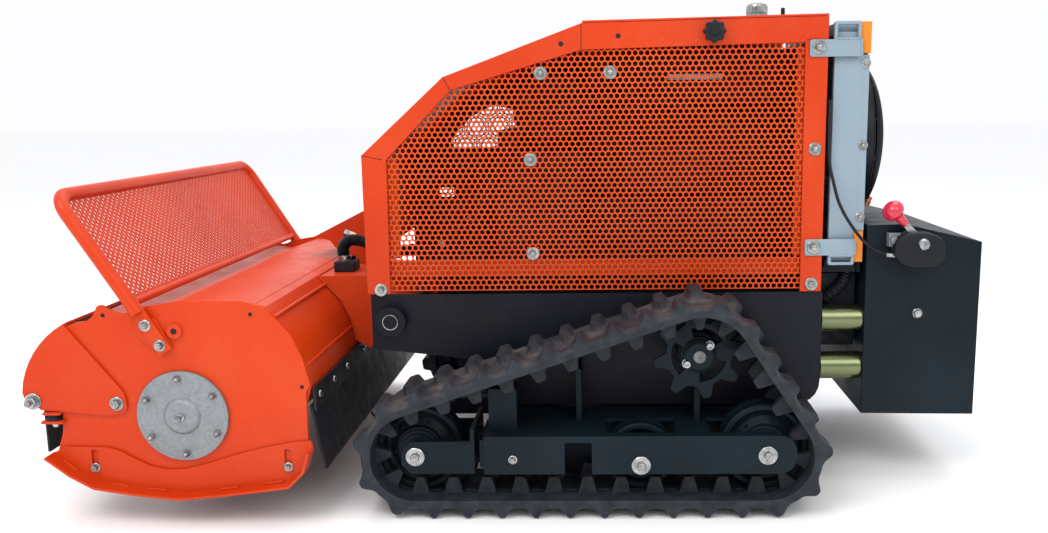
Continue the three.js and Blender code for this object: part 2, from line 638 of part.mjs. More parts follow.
function buildGuard() {
  const y = 545;
  const foot = [-714, 381];
  const top = [-890, 665];
  const lean = [(top[0] - foot[0]), (top[1] - foot[1])];
  const at = (share, across) => [foot[0] + lean[0] * share, across, foot[1] + lean[1] * share];
  const pad = outline([[-772, 438, 8], [-772, 404, 8], [-720, 362, 8], [-696, 380, 8], [-728, 438, 8]]);
  const rail = 0.32;
  const pieces = [];
  for (const side of Object.values(SIDES)) {
    pieces.push(bar(at(0, side * y), at(1, side * y), 14, 12));
    pieces.push(bar(at(1, side * y), [-904, side * (y - 14), 688], 14, 12));
    pieces.push(ball(...at(1, side * y), 14.2));
    pieces.push(ball(-904, side * (y - 14), 688, 14.2));
    pieces.push(plateY(pad, side * (HEAD.half + GAP), side * (HEAD.half + 6), 3));
  }
  pieces.push(bar([-904, -y + 14, 688], [-904, y - 14, 688], 14, 12));
  pieces.push(bar(at(rail, -y), at(rail, y), 9, 10));
  return join(...pieces);
}

function buildGuardMesh() {
  const sheet = new THREE.BoxGeometry(2, 1056, 206);
  sheet.rotateY(Math.atan2(-176, 284));
  sheet.translate(-835.2, 0, 576.6);
  return sheet;
}

function addHead() {
  const inside = HEAD.half - HEAD.plate - GAP;
  const shellLine = [[-432, 250], [-420, 292], [-433, 348], [-455, 396], [-509, 456], [-553, 467],
    [-686, 464], [-760, 441], [-820, 446.5], [-862, 440]];
  place('head_shell', plateY(bentSheet([...shellLine].reverse(), 6), -inside, inside), 'orange');
  place('lift_arms', buildArms(), 'orange');
  for (const [name, side] of Object.entries(SIDES)) {
    place(`side_plate_${name}`, buildSidePlate(side), 'orange');
    place(`skid_${name}`, buildSkid(side), 'orange');
  }
  const { rotorX, rotorZ } = HEAD;
  const face = HEAD.half + GAP;
  const bolts = [];
  for (let i = 0; i < 6; i += 1) {
    const angle = (33 / 180 + i / 3) * Math.PI;
    bolts.push([rotorX + 80 * Math.cos(angle), rotorZ + 80 * Math.sin(angle)]);
  }
  const cover = join(
    barY(rotorX, rotorZ, 95, -face, -face - 10, 32),
    barY(rotorX, rotorZ, 36.5, -face - 9, -face - 24, 20),
    ...bolts.map(([x, z]) => barY(x, z, 8, -face - 9, -face - 16, 6)),
  );
  place('bearing_cover_left', cover, 'zinc');
  const motor = join(
    barY(rotorX, rotorZ, 95, face, face + 12, 32),
    barY(rotorX, rotorZ, 60, face + 10, 569.5, 24),
    box(rotorX - 22, rotorX + 22, face + 10, 568, rotorZ + 40, rotorZ + 88),
  );
  place('rotor_motor', motor, 'black');
  place('rotor', buildRotor(), 'steel', [rotorX, 0, rotorZ]);
  place('front_door', buildDoor(), 'orange');
  place('front_curtain', box(-982, -977, -526, 526, 152, 245 - GAP), 'rubber');
  const flap = outline([[-427, 249], [-402, 112], [-396, 112], [-421, 249]]);
  place('rear_flap', plateY(flap, -inside, inside), 'rubber');
  const strip = outline([[-418.5, 288], [-418.5, 238], [-412, 238], [-412, 288]]);
  place('flap_strip', plateY(strip, -inside, inside), 'orange');
  place('guard_frame', buildGuard(), 'orange');
  place('guard_mesh', buildGuardMesh(), 'orange');
  const hose = cord([[-456, -50, 478], [-455, -50, 515], [-425, -50, 540], [-390, -50, 528], [-350, -50, 502],
    [-280, -40, 505], [-160, -20, 540], [-46, 0, 562]], 13, 26, 8);
  place('hydraulic_hose', hose, 'black');
}

addChassis();
for (const [name, side] of Object.entries(SIDES)) addUndercarriage(name, side);
addRearBox();
addHood();
addEngineBay();
addThrottle();
addLift();
addHead();

export default machine;
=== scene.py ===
"""Looks of a tracked carrier with a front grinding head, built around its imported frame."""

from math import acos, atan2, copysign, cos, hypot, pi, radians, sin, sqrt, tan

import bmesh
import bpy
import numpy as np
from mathutils import Matrix, Vector


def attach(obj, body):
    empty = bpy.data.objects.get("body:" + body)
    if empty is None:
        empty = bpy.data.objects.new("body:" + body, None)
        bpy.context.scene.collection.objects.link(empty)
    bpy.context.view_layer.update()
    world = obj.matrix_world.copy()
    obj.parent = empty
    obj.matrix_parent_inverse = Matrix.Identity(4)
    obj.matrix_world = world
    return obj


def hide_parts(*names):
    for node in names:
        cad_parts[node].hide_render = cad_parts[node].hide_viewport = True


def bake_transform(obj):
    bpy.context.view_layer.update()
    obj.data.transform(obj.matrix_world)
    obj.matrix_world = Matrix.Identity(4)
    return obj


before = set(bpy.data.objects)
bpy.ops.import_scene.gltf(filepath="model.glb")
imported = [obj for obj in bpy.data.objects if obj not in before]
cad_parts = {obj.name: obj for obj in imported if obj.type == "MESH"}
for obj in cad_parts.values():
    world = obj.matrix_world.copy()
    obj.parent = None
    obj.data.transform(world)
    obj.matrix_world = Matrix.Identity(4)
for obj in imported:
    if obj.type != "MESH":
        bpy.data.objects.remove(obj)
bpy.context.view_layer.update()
MM = 0.001
SIDES = {"left": -1, "right": 1}
BOTH = (-1, 1)

# Lengths below are millimetres in the CAD frame: +X rear, +Y the machine's right, +Z up.
CAMERA = {"place": (186, -2544, 855), "pitch": 10.0, "yaw": 1.4, "roll": -0.0115,
          "lens": 35.038, "shift": (-0.05344, 0.01765)}
HOSE_ROUTE = [(-460, -50, 492), (-462, -51, 505), (-458, -51, 521), (-443, -51, 532), (-420, -50, 531),
              (-392, -50, 522), (-350, -50, 508), (-280, -40, 508), (-160, -20, 540), (-46, 0, 562)]
HOSE_RADIUS = 15.5
CABLE_ROUTE = [(816, -329, 525), (804, -328, 526), (765, -326, 543), (728, -322, 585), (699, -317, 635),
               (684, -310, 688), (676, -305, 731), (674, -304, 800), (674, -304, 860)]
CABLE_RADIUS = 3.5

# Wheels lie at (x, z). The belt's route has a radius for each of the three that it runs round.
FRONT_IDLER, REAR_IDLER, MID_ROLLER, SPROCKET = (-214, 131.5), (525, 131.5), (261, 111.5), (386, 328)
ROUTE = [(*FRONT_IDLER, 93.5), (*REAR_IDLER, 93.5), (*SPROCKET, 100)]
TRACK_Y, TRACK_HALF = 420, 100
# The belt: its lug pitch, the pitches round it, the steps in each, its steel cords' depth and its first lug.
PITCH, PITCHES, STEPS, CORD_LINE, FIRST_LUG = 72, 31, 24, 4, 23.4
BAND, LUG, GUIDE = 20.5, 17.5, 36
ROTOR = (-686.4, 232.5)
FAN_HEIGHT = 770

# Faces that look outboard, as distances from the middle, and the gap off them and thickness of dark marks:
# joints, and painted shade in holes.
HOOD_FACE, HEAD_FACE, DOOR_FACE, PROUD, HAIR = 300, 530, 536.8, 0.05, 0.25
HOLE_PITCH, SHEET = 13.1, 2.4
UP, DOWN, REAR = (0, 0, 1), (0, 0, -1), (1, 0, 0)


def link(obj):
    bpy.context.scene.collection.objects.link(obj)
    return obj


# ---------- camera, light and floor ----------

def make_camera():
    pitch, yaw, roll = radians(CAMERA["pitch"]), radians(CAMERA["yaw"]), CAMERA["roll"]
    ahead = Vector((-sin(yaw) * cos(pitch), cos(yaw) * cos(pitch), -sin(pitch)))
    level = Vector((cos(yaw), sin(yaw), 0))
    over = level.cross(ahead)
    right = level * cos(roll) + over * sin(roll)
    up = over * cos(roll) - level * sin(roll)
    data = bpy.data.cameras.new("camera")
    data.sensor_width = 36
    data.lens = CAMERA["lens"]
    data.shift_x, data.shift_y = CAMERA["shift"]
    data.clip_start, data.clip_end = 0.05, 60
    camera = link(bpy.data.objects.new("camera", data))
    matrix = Matrix((right, up, -ahead)).transposed().to_4x4()
    matrix.translation = Vector(CAMERA["place"]) * MM
    camera.matrix_world = matrix
    bpy.context.scene.camera = camera


def add_area(name, place, target, size, power, colour):
    data = bpy.data.lights.new(name, "AREA")
    data.shape = "RECTANGLE"
    data.size, data.size_y = size
    data.energy = power
    data.color = colour
    light = link(bpy.data.objects.new(name, data))
    light.location = place
    light.rotation_mode = "QUATERNION"
    light.rotation_quaternion = (Vector(target) - Vector(place)).to_track_quat("-Z", "Y")


def make_stage():
    world = bpy.data.worlds.new("studio")
    world.use_nodes = True
    back = world.node_tree.nodes["Background"]
    back.inputs["Color"].default_value = (0.98, 0.985, 1.0, 1)
    back.inputs["Strength"].default_value = 1.0
    bpy.context.scene.world = world
    bpy.context.scene.view_settings.view_transform = "Standard"
    add_area("key", (-1.8, -3.2, 3.9), (0, 0, 0.5), (2.6, 2.0), 100, (1, 0.985, 0.96))
    add_area("fill", (1.7, -3.4, 2.8), (-0.5, 0, 0.4), (2.4, 2.0), 40, (1, 0.98, 0.95))
    add_area("top", (0.2, 0.8, 4.2), (0.1, 0, 0.6), (4.5, 3.2), 100, (0.96, 0.98, 1))
    mesh = bpy.data.meshes.new("floor")
    reach, depth = 40, -0.002
    corners = [(x, z, depth) for x, z in rectangle((-reach, reach), (-reach, reach))]
    mesh.from_pydata(corners, [], [(0, 1, 2, 3)])
    floor = link(bpy.data.objects.new("floor", mesh))
    look = Look("floor_look", 0.75)
    shades = ((0.3, (0.965, 0.968, 0.972, 1)), (0.7, (0.978, 0.978, 0.978, 1)))
    mesh.materials.append(look.finish(look.ramp(look.noise(0.6, 2), *shades)))


# ---------- materials ----------

def srgb(red, green, blue):
    """A colour with its alpha, from 8-bit display values."""
    channels = [c / 255 for c in (red, green, blue)]
    return (*(c / 12.92 if c <= 0.04045 else ((c + 0.055) / 1.055) ** 2.4 for c in channels), 1)


class Look:
    """A procedural surface, drawn in the object's own coordinates."""

    def __init__(self, name, roughness, metallic=0.0, specular=0.5):
        self.material = bpy.data.materials.new(name)
        self.material.use_nodes = True
        self.tree = self.material.node_tree
        self.shader = self.tree.nodes["Principled BSDF"]
        self.fill(self.shader, {"Roughness": roughness, "Metallic": metallic, "Specular IOR Level": specular})
        self.place = self.tree.nodes.new("ShaderNodeTexCoord").outputs["Object"]
        self.normal = None

    def fill(self, node, inputs):
        """Set or link a node's inputs, found by name or number."""
        for key, value in inputs.items():
            if isinstance(value, bpy.types.NodeSocket):
                self.tree.links.new(value, node.inputs[key])
            else:
                node.inputs[key].default_value = value
        return node

    def node(self, kind, inputs, **settings):
        made = self.tree.nodes.new(f"ShaderNode{kind}")
        for key, value in settings.items():
            setattr(made, key, value)
        return self.fill(made, inputs)

    def noise(self, scale, detail, stretch=None):
        where = self.place
        if stretch:
            where = self.node("Mapping", {"Vector": where, "Scale": stretch}).outputs["Vector"]
        inputs = {"Vector": where, "Scale": scale, "Detail": detail, "Roughness": 0.55}
        return self.node("TexNoise", inputs).outputs["Fac"]

    def ramp(self, fac, *stops):
        """A colour ramp. A stop is a place and a colour, or a place and a grey value."""
        made = self.node("ValToRGB", {"Fac": fac})
        elements = made.color_ramp.elements
        while len(elements) < len(stops):
            elements.new(0.5)
        for element, (position, colour) in zip(elements, stops):
            element.position = position
            element.color = colour if isinstance(colour, tuple) else (colour, colour, colour, 1)
        return made.outputs["Color"]

    def mix(self, fac, first, second):
        return self.node("Mix", {0: fac, 6: first, 7: second}, data_type="RGBA").outputs[2]

    def bump(self, height, distance, strength):
        inputs = {"Height": height, "Distance": distance, "Strength": strength}
        if self.normal:
            inputs["Normal"] = self.normal
        self.normal = self.node("Bump", inputs).outputs["Normal"]

    def finish(self, tone, rough=None, *bumps):
        """The material, from its colour and the noises of its roughness and of its bumps."""
        inputs = {"Base Color": tone}
        if rough:
            scale, detail, low, high = rough
            inputs["Roughness"] = self.ramp(self.noise(scale, detail), (0.3, low), (0.7, high))
        for scale, detail, distance, strength in bumps:
            self.bump(self.noise(scale, detail), distance, strength)
        if self.normal:
            inputs["Normal"] = self.normal
        self.fill(self.shader, inputs)
        return self.material


def paint(name, deep, light, roughness, dust, dusty=0.1, specular=0.2):
    """Sprayed paint: slow shade changes, orange peel, and a little dust that dulls it."""
    look = Look(name, roughness, specular=specular)
    broad = look.ramp(look.noise(2.6, 2), (0.36, srgb(*deep)), (0.64, srgb(*light)))
    specks = look.ramp(look.noise(95, 4), (0.56, 0.0), (0.8, dusty))
    clouds = look.ramp(look.noise(7, 4), (0.45, 0.0), (0.75, dusty * 0.8))
    tone = look.mix(clouds, look.mix(specks, broad, srgb(*dust)), srgb(*dust))
    rough = (19, 4, roughness - 0.05, roughness + 0.09)
    return look.finish(tone, rough, (420, 2, 0.00025, 0.16), (6, 2, 0.004, 0.1))


def mottled(look, grain, deep, light, rough, *bumps):
    """Two shades mixed by noise. The grain is its scale, its detail and where it turns fully light."""
    scale, detail, full = grain
    tone = look.ramp(look.noise(scale, detail), (0.35, srgb(*deep)), (full, srgb(*light)))
    return look.finish(tone, rough, *bumps)


def metal(name, deep, light, roughness, scale, metallic=1.0, bump=0.25):
    look = Look(name, roughness, metallic)
    rough = (scale * 3, 3, roughness - 0.08, roughness + 0.12)
    return mottled(look, (scale, 4, 0.65), deep, light, rough, (300, 3, 0.0003, bump))


def galvanised():
    look = Look("zinc_look", 0.5, 0.45, 0.3)
    flakes = look.node("TexVoronoi", {"Vector": look.place, "Scale": 190}).outputs["Color"]
    tone = look.ramp(flakes, (0.1, srgb(126, 131, 136)), (0.9, srgb(140, 145, 149)))
    stain = look.ramp(look.noise(14, 4), (0.5, 0.0), (0.8, 0.4))
    return look.finish(look.mix(stain, tone, srgb(112, 117, 121)), (60, 3, 0.42, 0.6), (240, 3, 0.0004, 0.2))


def plated():
    look = Look("plated_look", 0.2, 0.95)
    # Streaks stretched along each tube: the lighter middle of the ramp paints a sheen, bands of highlight on
    # the olive plating.
    painted_sheen = look.noise(9, 2, (0.2, 1, 1))
    tone = look.ramp(painted_sheen, (0.3, srgb(96, 106, 76)), (0.5, srgb(120, 126, 92)), (0.7, srgb(88, 102, 86)))
    return look.finish(tone, (30, 2, 0.16, 0.24), (14, 2, 0.0004, 0.1))


def dusty_rubber():
    """Track rubber, with dust in patches where the belt's own attribute says."""
    look = Look("rubber_look", 0.62, specular=0.22)
    base = look.ramp(look.noise(38, 4), (0.3, srgb(25, 29, 36)), (0.7, srgb(44, 49, 57)))
    dust = look.ramp(look.noise(24, 4), (0.32, srgb(64, 60, 60)), (0.7, srgb(100, 96, 94)))
    patches = look.ramp(look.noise(11, 5), (0.38, 0.1), (0.66, 0.9))
    held = look.node("Attribute", {}, attribute_name="dust").outputs["Fac"]
    share = look.node("Math", {0: held, 1: patches}, operation="MULTIPLY").outputs[0]
    return look.finish(look.mix(share, base, dust), (70, 3, 0.5, 0.76), (160, 4, 0.0009, 0.5))


def fins():
    look = Look("core_look", 0.45, 0.6)
    # The rows make the fins' bump and colour: the dark stripes are painted shade in the gaps between the
    # fins, the light ones the fin edges.
    rows = look.noise(1.0, 0, (1, 1, 320))
    look.bump(rows, 0.002, 0.6)
    return look.finish(look.ramp(rows, (0.45, srgb(40, 44, 50)), (0.55, srgb(120, 128, 134))))


def gloss_red():
    look = Look("ball_look", 0.2)
    look.fill(look.shader, {"Coat Weight": 0.5, "Coat Roughness": 0.12})
    rough = (45, 3, 0.16, 0.28)
    return mottled(look, (16, 3, 0.65), (186, 18, 46), (206, 32, 62), rough, (60, 2, 0.0004, 0.08))


DARK_DUST = (70, 70, 72)
LOOKS = {
    "orange": paint("orange_look", (188, 50, 4), (196, 57, 9), 0.36, (204, 118, 86), 0.1, 0.22),
    "mesh": paint("mesh_look", (194, 62, 4), (203, 70, 9), 0.36, (206, 122, 84), 0.1, 0.22),
    "amber": paint("amber_look", (208, 118, 28), (216, 130, 40), 0.38, (220, 176, 124), 0.08),
    "dark": paint("dark_look", (8, 19, 27), (14, 28, 36), 0.42, DARK_DUST, 0.06, 0.14),
    "chassis": paint("chassis_look", (13, 14, 24), (21, 22, 33), 0.4, DARK_DUST, 0.07, 0.16),
    "grey": paint("grey_look", (126, 143, 156), (138, 155, 168), 0.4, (166, 174, 180), 0.14),
    "plastic": paint("plastic_look", (18, 20, 25), (27, 30, 36), 0.4, DARK_DUST, 0.06),
    "cream": paint("cream_look", (206, 198, 160), (224, 216, 180), 0.4, DARK_DUST, 0.05),
    "bolt": metal("bolt_look", (126, 130, 131), (174, 177, 175), 0.26, 70),
    "steel": metal("steel_look", (70, 72, 74), (116, 117, 118), 0.42, 24, 0.9, 0.4),
    "copper": metal("copper_look", (150, 84, 58), (190, 120, 88), 0.36, 60),
    "sheet_rubber": mottled(Look("sheet_rubber_look", 0.5, specular=0.22), (13, 4, 0.7), (16, 14, 19),
                            (32, 30, 36), (30, 4, 0.4, 0.6), (5, 2, 0.006, 0.35), (260, 3, 0.0005, 0.3)),
    "cast": mottled(Look("cast_look", 0.6, specular=0.2), (22, 4, 0.7), (16, 17, 21), (34, 36, 42),
                    (50, 3, 0.45, 0.72), (210, 4, 0.0008, 0.5)),
    "zinc": galvanised(),
    "plated": plated(),
    "rubber": dusty_rubber(),
    "ball": gloss_red(),
    "fins": fins(),
}


# ---------- shapes ----------

def piece(name, forms, looks, body="carrier", node=None, bevel=0, sharp=32, weld=0.01, second=()):
    """One object of the part, from forms of (points, faces) in millimetres.

    It rides on a body and may stand for a CAD node. Its second forms wear the second of its looks.
    """
    points, faces, kinds = [], [], []
    for k, (corners, polygons) in enumerate([*forms, *second]):
        base = len(points)
        points += [Vector(corner) * MM for corner in corners]
        faces += [[base + i for i in polygon] for polygon in polygons]
        kinds += [int(k >= len(forms))] * len(polygons)
    mesh = bpy.data.meshes.new(name)
    mesh.from_pydata(points, [], faces)
    mesh.polygons.foreach_set("material_index", kinds)
    for look in looks.split():
        mesh.materials.append(LOOKS[look])
    work = bmesh.new()
    work.from_mesh(mesh)
    bmesh.ops.remove_doubles(work, verts=work.verts, dist=weld * MM)
    bmesh.ops.recalc_face_normals(work, faces=work.faces)
    work.to_mesh(mesh)
    work.free()
    mesh.polygons.foreach_set("use_smooth", [True] * len(mesh.polygons))
    mesh.set_sharp_from_angle(angle=radians(sharp))
    obj = link(bpy.data.objects.new(name, mesh))
    if bevel:
        soften(obj, bevel)
    if body:
        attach(obj, body)
    if node:
        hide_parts(node)
    return obj


def fasteners(name, forms, body="carrier"):
    piece(name, forms, "bolt", body, sharp=30)


def soften(obj, width):
    edge = obj.modifiers.new("edge", "BEVEL")
    edge.width = width * MM
    edge.segments = 2
    edge.limit_method = "ANGLE"
    edge.angle_limit = radians(33)
    even = obj.modifiers.new("even", "WEIGHTED_NORMAL")
    even.keep_sharp = False


def polar(centre, radius, angle):
    return centre[0] + radius * cos(angle), centre[1] + radius * sin(angle)


def arc(centre, radius, start, end, steps):
    """Points on an arc, with its angles in degrees."""
    return [polar(centre, radius, radians(start + (end - start) * i / steps)) for i in range(steps + 1)]


def rectangle(x, z):
    return [(x[0], z[0]), (x[1], z[0]), (x[1], z[1]), (x[0], z[1])]


def rounded(points, steps=5):
    """An outline whose corners with a third number are rounded over that radius."""
    line = []
    for i, point in enumerate(points):
        corner = Vector(point[:2])
        if len(point) < 3:
            line.append(tuple(corner))
            continue
        before = (Vector(points[i - 1][:2]) - corner).normalized()
        after = (Vector(points[(i + 1) % len(points)][:2]) - corner).normalized()
        reach = point[2] / tan(before.angle(after) / 2)
        start, end = corner + before * reach, corner + after * reach
        for t in (k / steps for k in range(steps + 1)):
            line.append(tuple(start.lerp(corner, t).lerp(corner.lerp(end, t), t)))
    return line


def slab(x, z, *radii):
    """A rounded rectangle, with one radius or four from its low front corner."""
    return rounded([(*corner, radii[i % len(radii)]) for i, corner in enumerate(rectangle(x, z))])


def numbered(count, sides):
    """Rings of point numbers, in the order of their points."""
    return [list(range(i * sides, (i + 1) * sides)) for i in range(count)]


def skin(rings, closed=False):
    """Faces between rings of point numbers. The end rings are filled, unless the last meets the first."""
    faces = [] if closed else [rings[0], rings[-1][::-1]]
    for low, high in zip(rings, rings[1:] + (rings[:1] if closed else [])):
        for i in range(len(low)):
            j = (i + 1) % len(low)
            faces.append((low[i], low[j], high[j], high[i]))
    faces = [tuple(dict.fromkeys(face)) for face in faces]
    return [face for face in faces if len(face) > 2]


def prism(outline, first, last, axis="y"):
    """An outline given thickness. It lies in X and Z for axis y, and X and Y for z."""
    put = {"y": lambda a, b, t: (a, t, b), "z": lambda a, b, t: (a, b, t)}[axis]
    return [put(a, b, t) for t in (first, last) for a, b in outline], skin(numbered(2, len(outline)))


def block(x, y, z):
    return prism(rectangle(x, z), *y)


def basis(direction):
    """A direction of length one, and two others square to it."""
    along = Vector(direction).normalized()
    side = Vector(UP) if abs(along.z) < 0.9 else Vector((1, 0, 0))
    first = along.cross(side).normalized()
    return along, first, along.cross(first)


def circle(at, first, second, radius, sides, turn=0.0):
    angles = [2 * pi * (i + turn) / sides for i in range(sides)]
    return [at + (first * cos(a) + second * sin(a)) * radius for a in angles]


def lathe(profile, centre, direction, sides, turn=0.0, ring=False):
    """A body turned from (radius, distance along) pairs. Its ends are filled, unless it is a ring."""
    along, first, second = basis(direction)
    if not ring:
        profile = [(0, profile[0][1]), *profile, (0, profile[-1][1])]
    points, rings = [], []
    for radius, distance in profile:
        at = Vector(centre) + along * distance
        rings.append([len(points) + (i if radius else 0) for i in range(sides)])
        points += circle(at, first, second, radius, sides, turn) if radius else [at]
    return points, skin(rings, ring)


def disc(radius, height, at, direction, sides):
    return lathe([(radius, 0), (radius, height)], at, direction, sides)


def turned(profile, side, x, face, z, sides, turn=0.0, ring=False):
    """A body turned about an axle that points out of one side of the machine."""
    return lathe(profile, (x, side * face, z), (0, side, 0), sides, turn, ring)


def sweep(path, radius, sides, closed=False):
    """A round tube along a path. The radius is one number, or one for each point."""
    path = [Vector(p) for p in path]
    count = len(path)
    radii = radius if isinstance(radius, list) else [radius] * count
    points, first = [], None
    for i, at in enumerate(path):
        ahead = path[(i + 1) % count] if closed or i < count - 1 else at
        behind = path[i - 1] if closed or i else at
        along = (ahead - behind).normalized()
        first = basis(along)[1] if first is None else (first - along * first.dot(along)).normalized()
        points += circle(at, first, along.cross(first), radii[i], sides)
    return points, skin(numbered(count, sides), closed)


def smooth_path(points, per_span):
    """A Catmull-Rom line through the points."""
    p = [Vector(x) for x in points]
    p = [p[0] * 2 - p[1], *p, p[-1] * 2 - p[-2]]
    line = []
    for i in range(1, len(p) - 2):
        for t in (k / per_span for k in range(per_span)):
            line.append(0.5 * (2 * p[i] + (p[i + 1] - p[i - 1]) * t
                               + (2 * p[i - 1] - 5 * p[i] + 4 * p[i + 1] - p[i + 2]) * t ** 2
                               + (3 * p[i] - p[i - 1] - 3 * p[i + 1] + p[i + 2]) * t ** 3))
    return [*line, p[-2]]


def bent_path(points, radius, steps):
    """Straight runs joined by round bends."""
    p = [Vector(x) for x in points]
    line = [p[0]]
    for before, corner, after in zip(p, p[1:], p[2:]):
        back, on = (before - corner).normalized(), (after - corner).normalized()
        half = back.angle(on) / 2
        reach = radius / tan(half)
        centre = corner + (back + on).normalized() * radius / sin(half)
        start, end = corner + back * reach - centre, corner + on * reach - centre
        line += [centre + start.slerp(end, k / steps) * start.length for k in range(steps + 1)]
    return [*line, p[-1]]


def weld(path, radius, step=5.0):
    """A weld bead with its ripples."""
    points, radii = [], []
    for a, b in zip(path, path[1:]):
        a, b = Vector(a), Vector(b)
        count = 2 * max(2, round((b - a).length / step))
        points += [a.lerp(b, k / count) for k in range(count)]
        radii += [radius * (1.0 if k % 2 else 0.72) for k in range(count)]
    return sweep([*points, Vector(path[-1])], [*radii, radius * 0.6], 8)


def hexagon(across):
    """The corner radius of a hexagon, from the width across its flats."""
    return across / 2 / cos(pi / 6)


def acorn(at, direction, across=13):
    """A domed cap nut."""
    r = hexagon(across)
    dome = [(0.46, 5.8), (0.46, 8.5), (0.36, 12), (0.18, 14)]
    return [lathe([(r, 0), (r, 5), (r * 0.9, 6)], at, direction, 6, 0.2),
            lathe([*((across * share, height) for share, height in dome), (0, 14.4)], at, direction, 20)]


def cut_sheet(outline, holes, first, last, bevel):
    """A flat plate in X and Z with holes and softened edges, from a filled outline."""
    curve = bpy.data.curves.new("cutting", "CURVE")
    curve.dimensions = "2D"
    curve.fill_mode = "BOTH"
    for loop in [outline, *holes]:
        spline = curve.splines.new("POLY")
        spline.points.add(len(loop) - 1)
        for point, (a, b) in zip(spline.points, loop):
            point.co = (a, b, 0, 1)
        spline.use_cyclic_u = True
    curve.extrude = abs(last - first) / 2 - bevel
    curve.bevel_depth = bevel
    curve.bevel_resolution = 1
    curve.offset = -bevel
    holder = link(bpy.data.objects.new("cutting", curve))
    shaped = bpy.data.meshes.new_from_object(holder.evaluated_get(bpy.context.evaluated_depsgraph_get()))
    middle = (first + last) / 2
    points = [(v.co.x, middle - v.co.z, v.co.y) for v in shaped.vertices]
    faces = [tuple(p.vertices) for p in shaped.polygons]
    bpy.data.objects.remove(holder)
    bpy.data.curves.remove(curve)
    bpy.data.meshes.remove(shaped)
    return points, faces


def side_plate(outline, side, inner, outer, bevel, holes=()):
    """A plate that stands upright on one side of the machine."""
    return cut_sheet(outline, holes, side * inner, side * outer, bevel)


def bolt(at, direction, across, washer, height, turn=0.0):
    """A hexagon head with a domed end on a round washer."""
    r, w = hexagon(across), washer / 2
    end = height + (2.2 if washer else 0)
    forms = [lathe([(r, end - height), (r, end - 1.6), (r * 0.86, end)], at, direction, 6, turn),
             lathe([(r * 0.5, end - 0.2), (r * 0.46, end + 1.2), (r * 0.3, end + 1.8)], at, direction, 14)]
    if washer:
        forms.append(lathe([(w - 0.6, 0), (w, 0.6), (w, 1.8), (w - 0.8, 2.4)], at, direction, 28))
    return forms


def bolts(sides, face, places, sizes, turn=0.0):
    """Bolts that face outboard, each turned a little further than the last on its side."""
    return [form for side in sides for i, (x, z) in enumerate(places)
            for form in bolt((x, side * face, z), (0, side, 0), *sizes, turn * i)]


def perforated(place, width, height, hole, keep):
    """A sheet of round holes in staggered rows. place turns (along, up, out) into a point."""
    pitch, sides = HOLE_PITCH, 12
    step = pitch * sqrt(3) / 2
    k = np.arange(sides)
    turns = k * pi / 6
    edge = np.where(k % 2 == 0, pitch / 2, pitch / sqrt(3))
    centres = [((i + 0.5 * (j % 2)) * pitch, j * step)
               for j in range(int(height[0] // step), int(height[1] // step) + 2)
               for i in range(int(width[0] // pitch), int(width[1] // pitch) + 2)]
    centres = np.array([c for c in centres if keep(*c)])
    ring = np.stack([np.cos(turns), np.sin(turns)], 1)
    flat = np.concatenate([centres[:, None] + ring * edge[:, None], centres[:, None] + ring * hole / 2], 1)
    flat = np.clip(flat.reshape(-1, 2), [width[0], height[0]], [width[1], height[1]])
    flat, where = np.unique(np.round(flat, 3), axis=0, return_inverse=True)
    n = (k + 1) % sides
    quads = where.reshape(-1, 2 * sides)[:, np.stack([k, n, n + sides, k + sides], 1)].reshape(-1, 4)
    a, b, c, d = (flat[quads[:, i]] for i in range(4))
    area = np.cross(c - a, d - b) / 2
    front = [tuple(dict.fromkeys(q)) for q in quads[np.abs(area) > 0.02].tolist()]
    front = [f for f in front if len(f) > 2]
    arrows = {(f[i], f[(i + 1) % len(f)]) for f in front for i in range(len(f))}
    total = len(flat)
    faces = front + [tuple(i + total for i in reversed(f)) for f in front]
    faces += [(j, i, i + total, j + total) for i, j in arrows if (j, i) not in arrows]
    return [place(x, z, t) for t in (0, SHEET) for x, z in flat], faces


def inside(outline):
    """A test of whether a point lies in a closed outline."""
    edges = list(zip(outline, outline[1:] + outline[:1]))

    def test(x, z):
        crossings = [1 for (ax, az), (bx, bz) in edges
                     if (az > z) != (bz > z) and x < ax + (z - az) / (bz - az) * (bx - ax)]
        return len(crossings) % 2 == 1
    return test


# ---------- cords ----------

def ribbed(path, radius, turns, depth):
    """The radii of a hose wound with a spiral guard."""
    count = len(path)
    return [radius - depth * (0.5 + 0.5 * cos(2 * pi * turns * i / count)) for i in range(count)]


def make_cords():
    path = smooth_path(HOSE_ROUTE, 40)
    hose = piece("hydraulic_hose_wrapped", [sweep(path, ribbed(path, HOSE_RADIUS, 44, 2.8), 20)],
                 "plastic", body=None)
    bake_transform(hose)
    foot, elbow, ahead = (-459, -50, 477.6), (-462, -28, 548), (0.93, 0, -0.36)
    ferrule = [lathe([(17, 0), (17, 7), (15.6, 8)], foot, UP, 6),
               lathe([(15.4, 7.6), (16, 9), (16, 17), (14.6, 18)], foot, UP, 28),
               disc(10, 13, elbow, ahead, 6)]
    sleeve = lathe([(8.6, 12.8), (9, 14), (9, 27), (7.6, 29)], elbow, ahead, 24)
    fitting = piece("hose_ferrule", ferrule, "bolt cream", "head", bevel=0.6, second=[sleeve])
    manifold = [block((-480, -431), (-76, -12), (456.6, 481)),
                *(disc(9, 9, (x, -22, 480), UP, 6) for x in (-446, -468))]
    piece("hose_manifold", manifold, "cast", "head", bevel=1.5)
    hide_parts("hydraulic_hose")
    path = smooth_path(CABLE_ROUTE, 8)
    cable = piece("throttle_cable_sheath", [sweep(path, CABLE_RADIUS, 12)], "plastic",
                  node="throttle_cable")


# ---------- tracks ----------

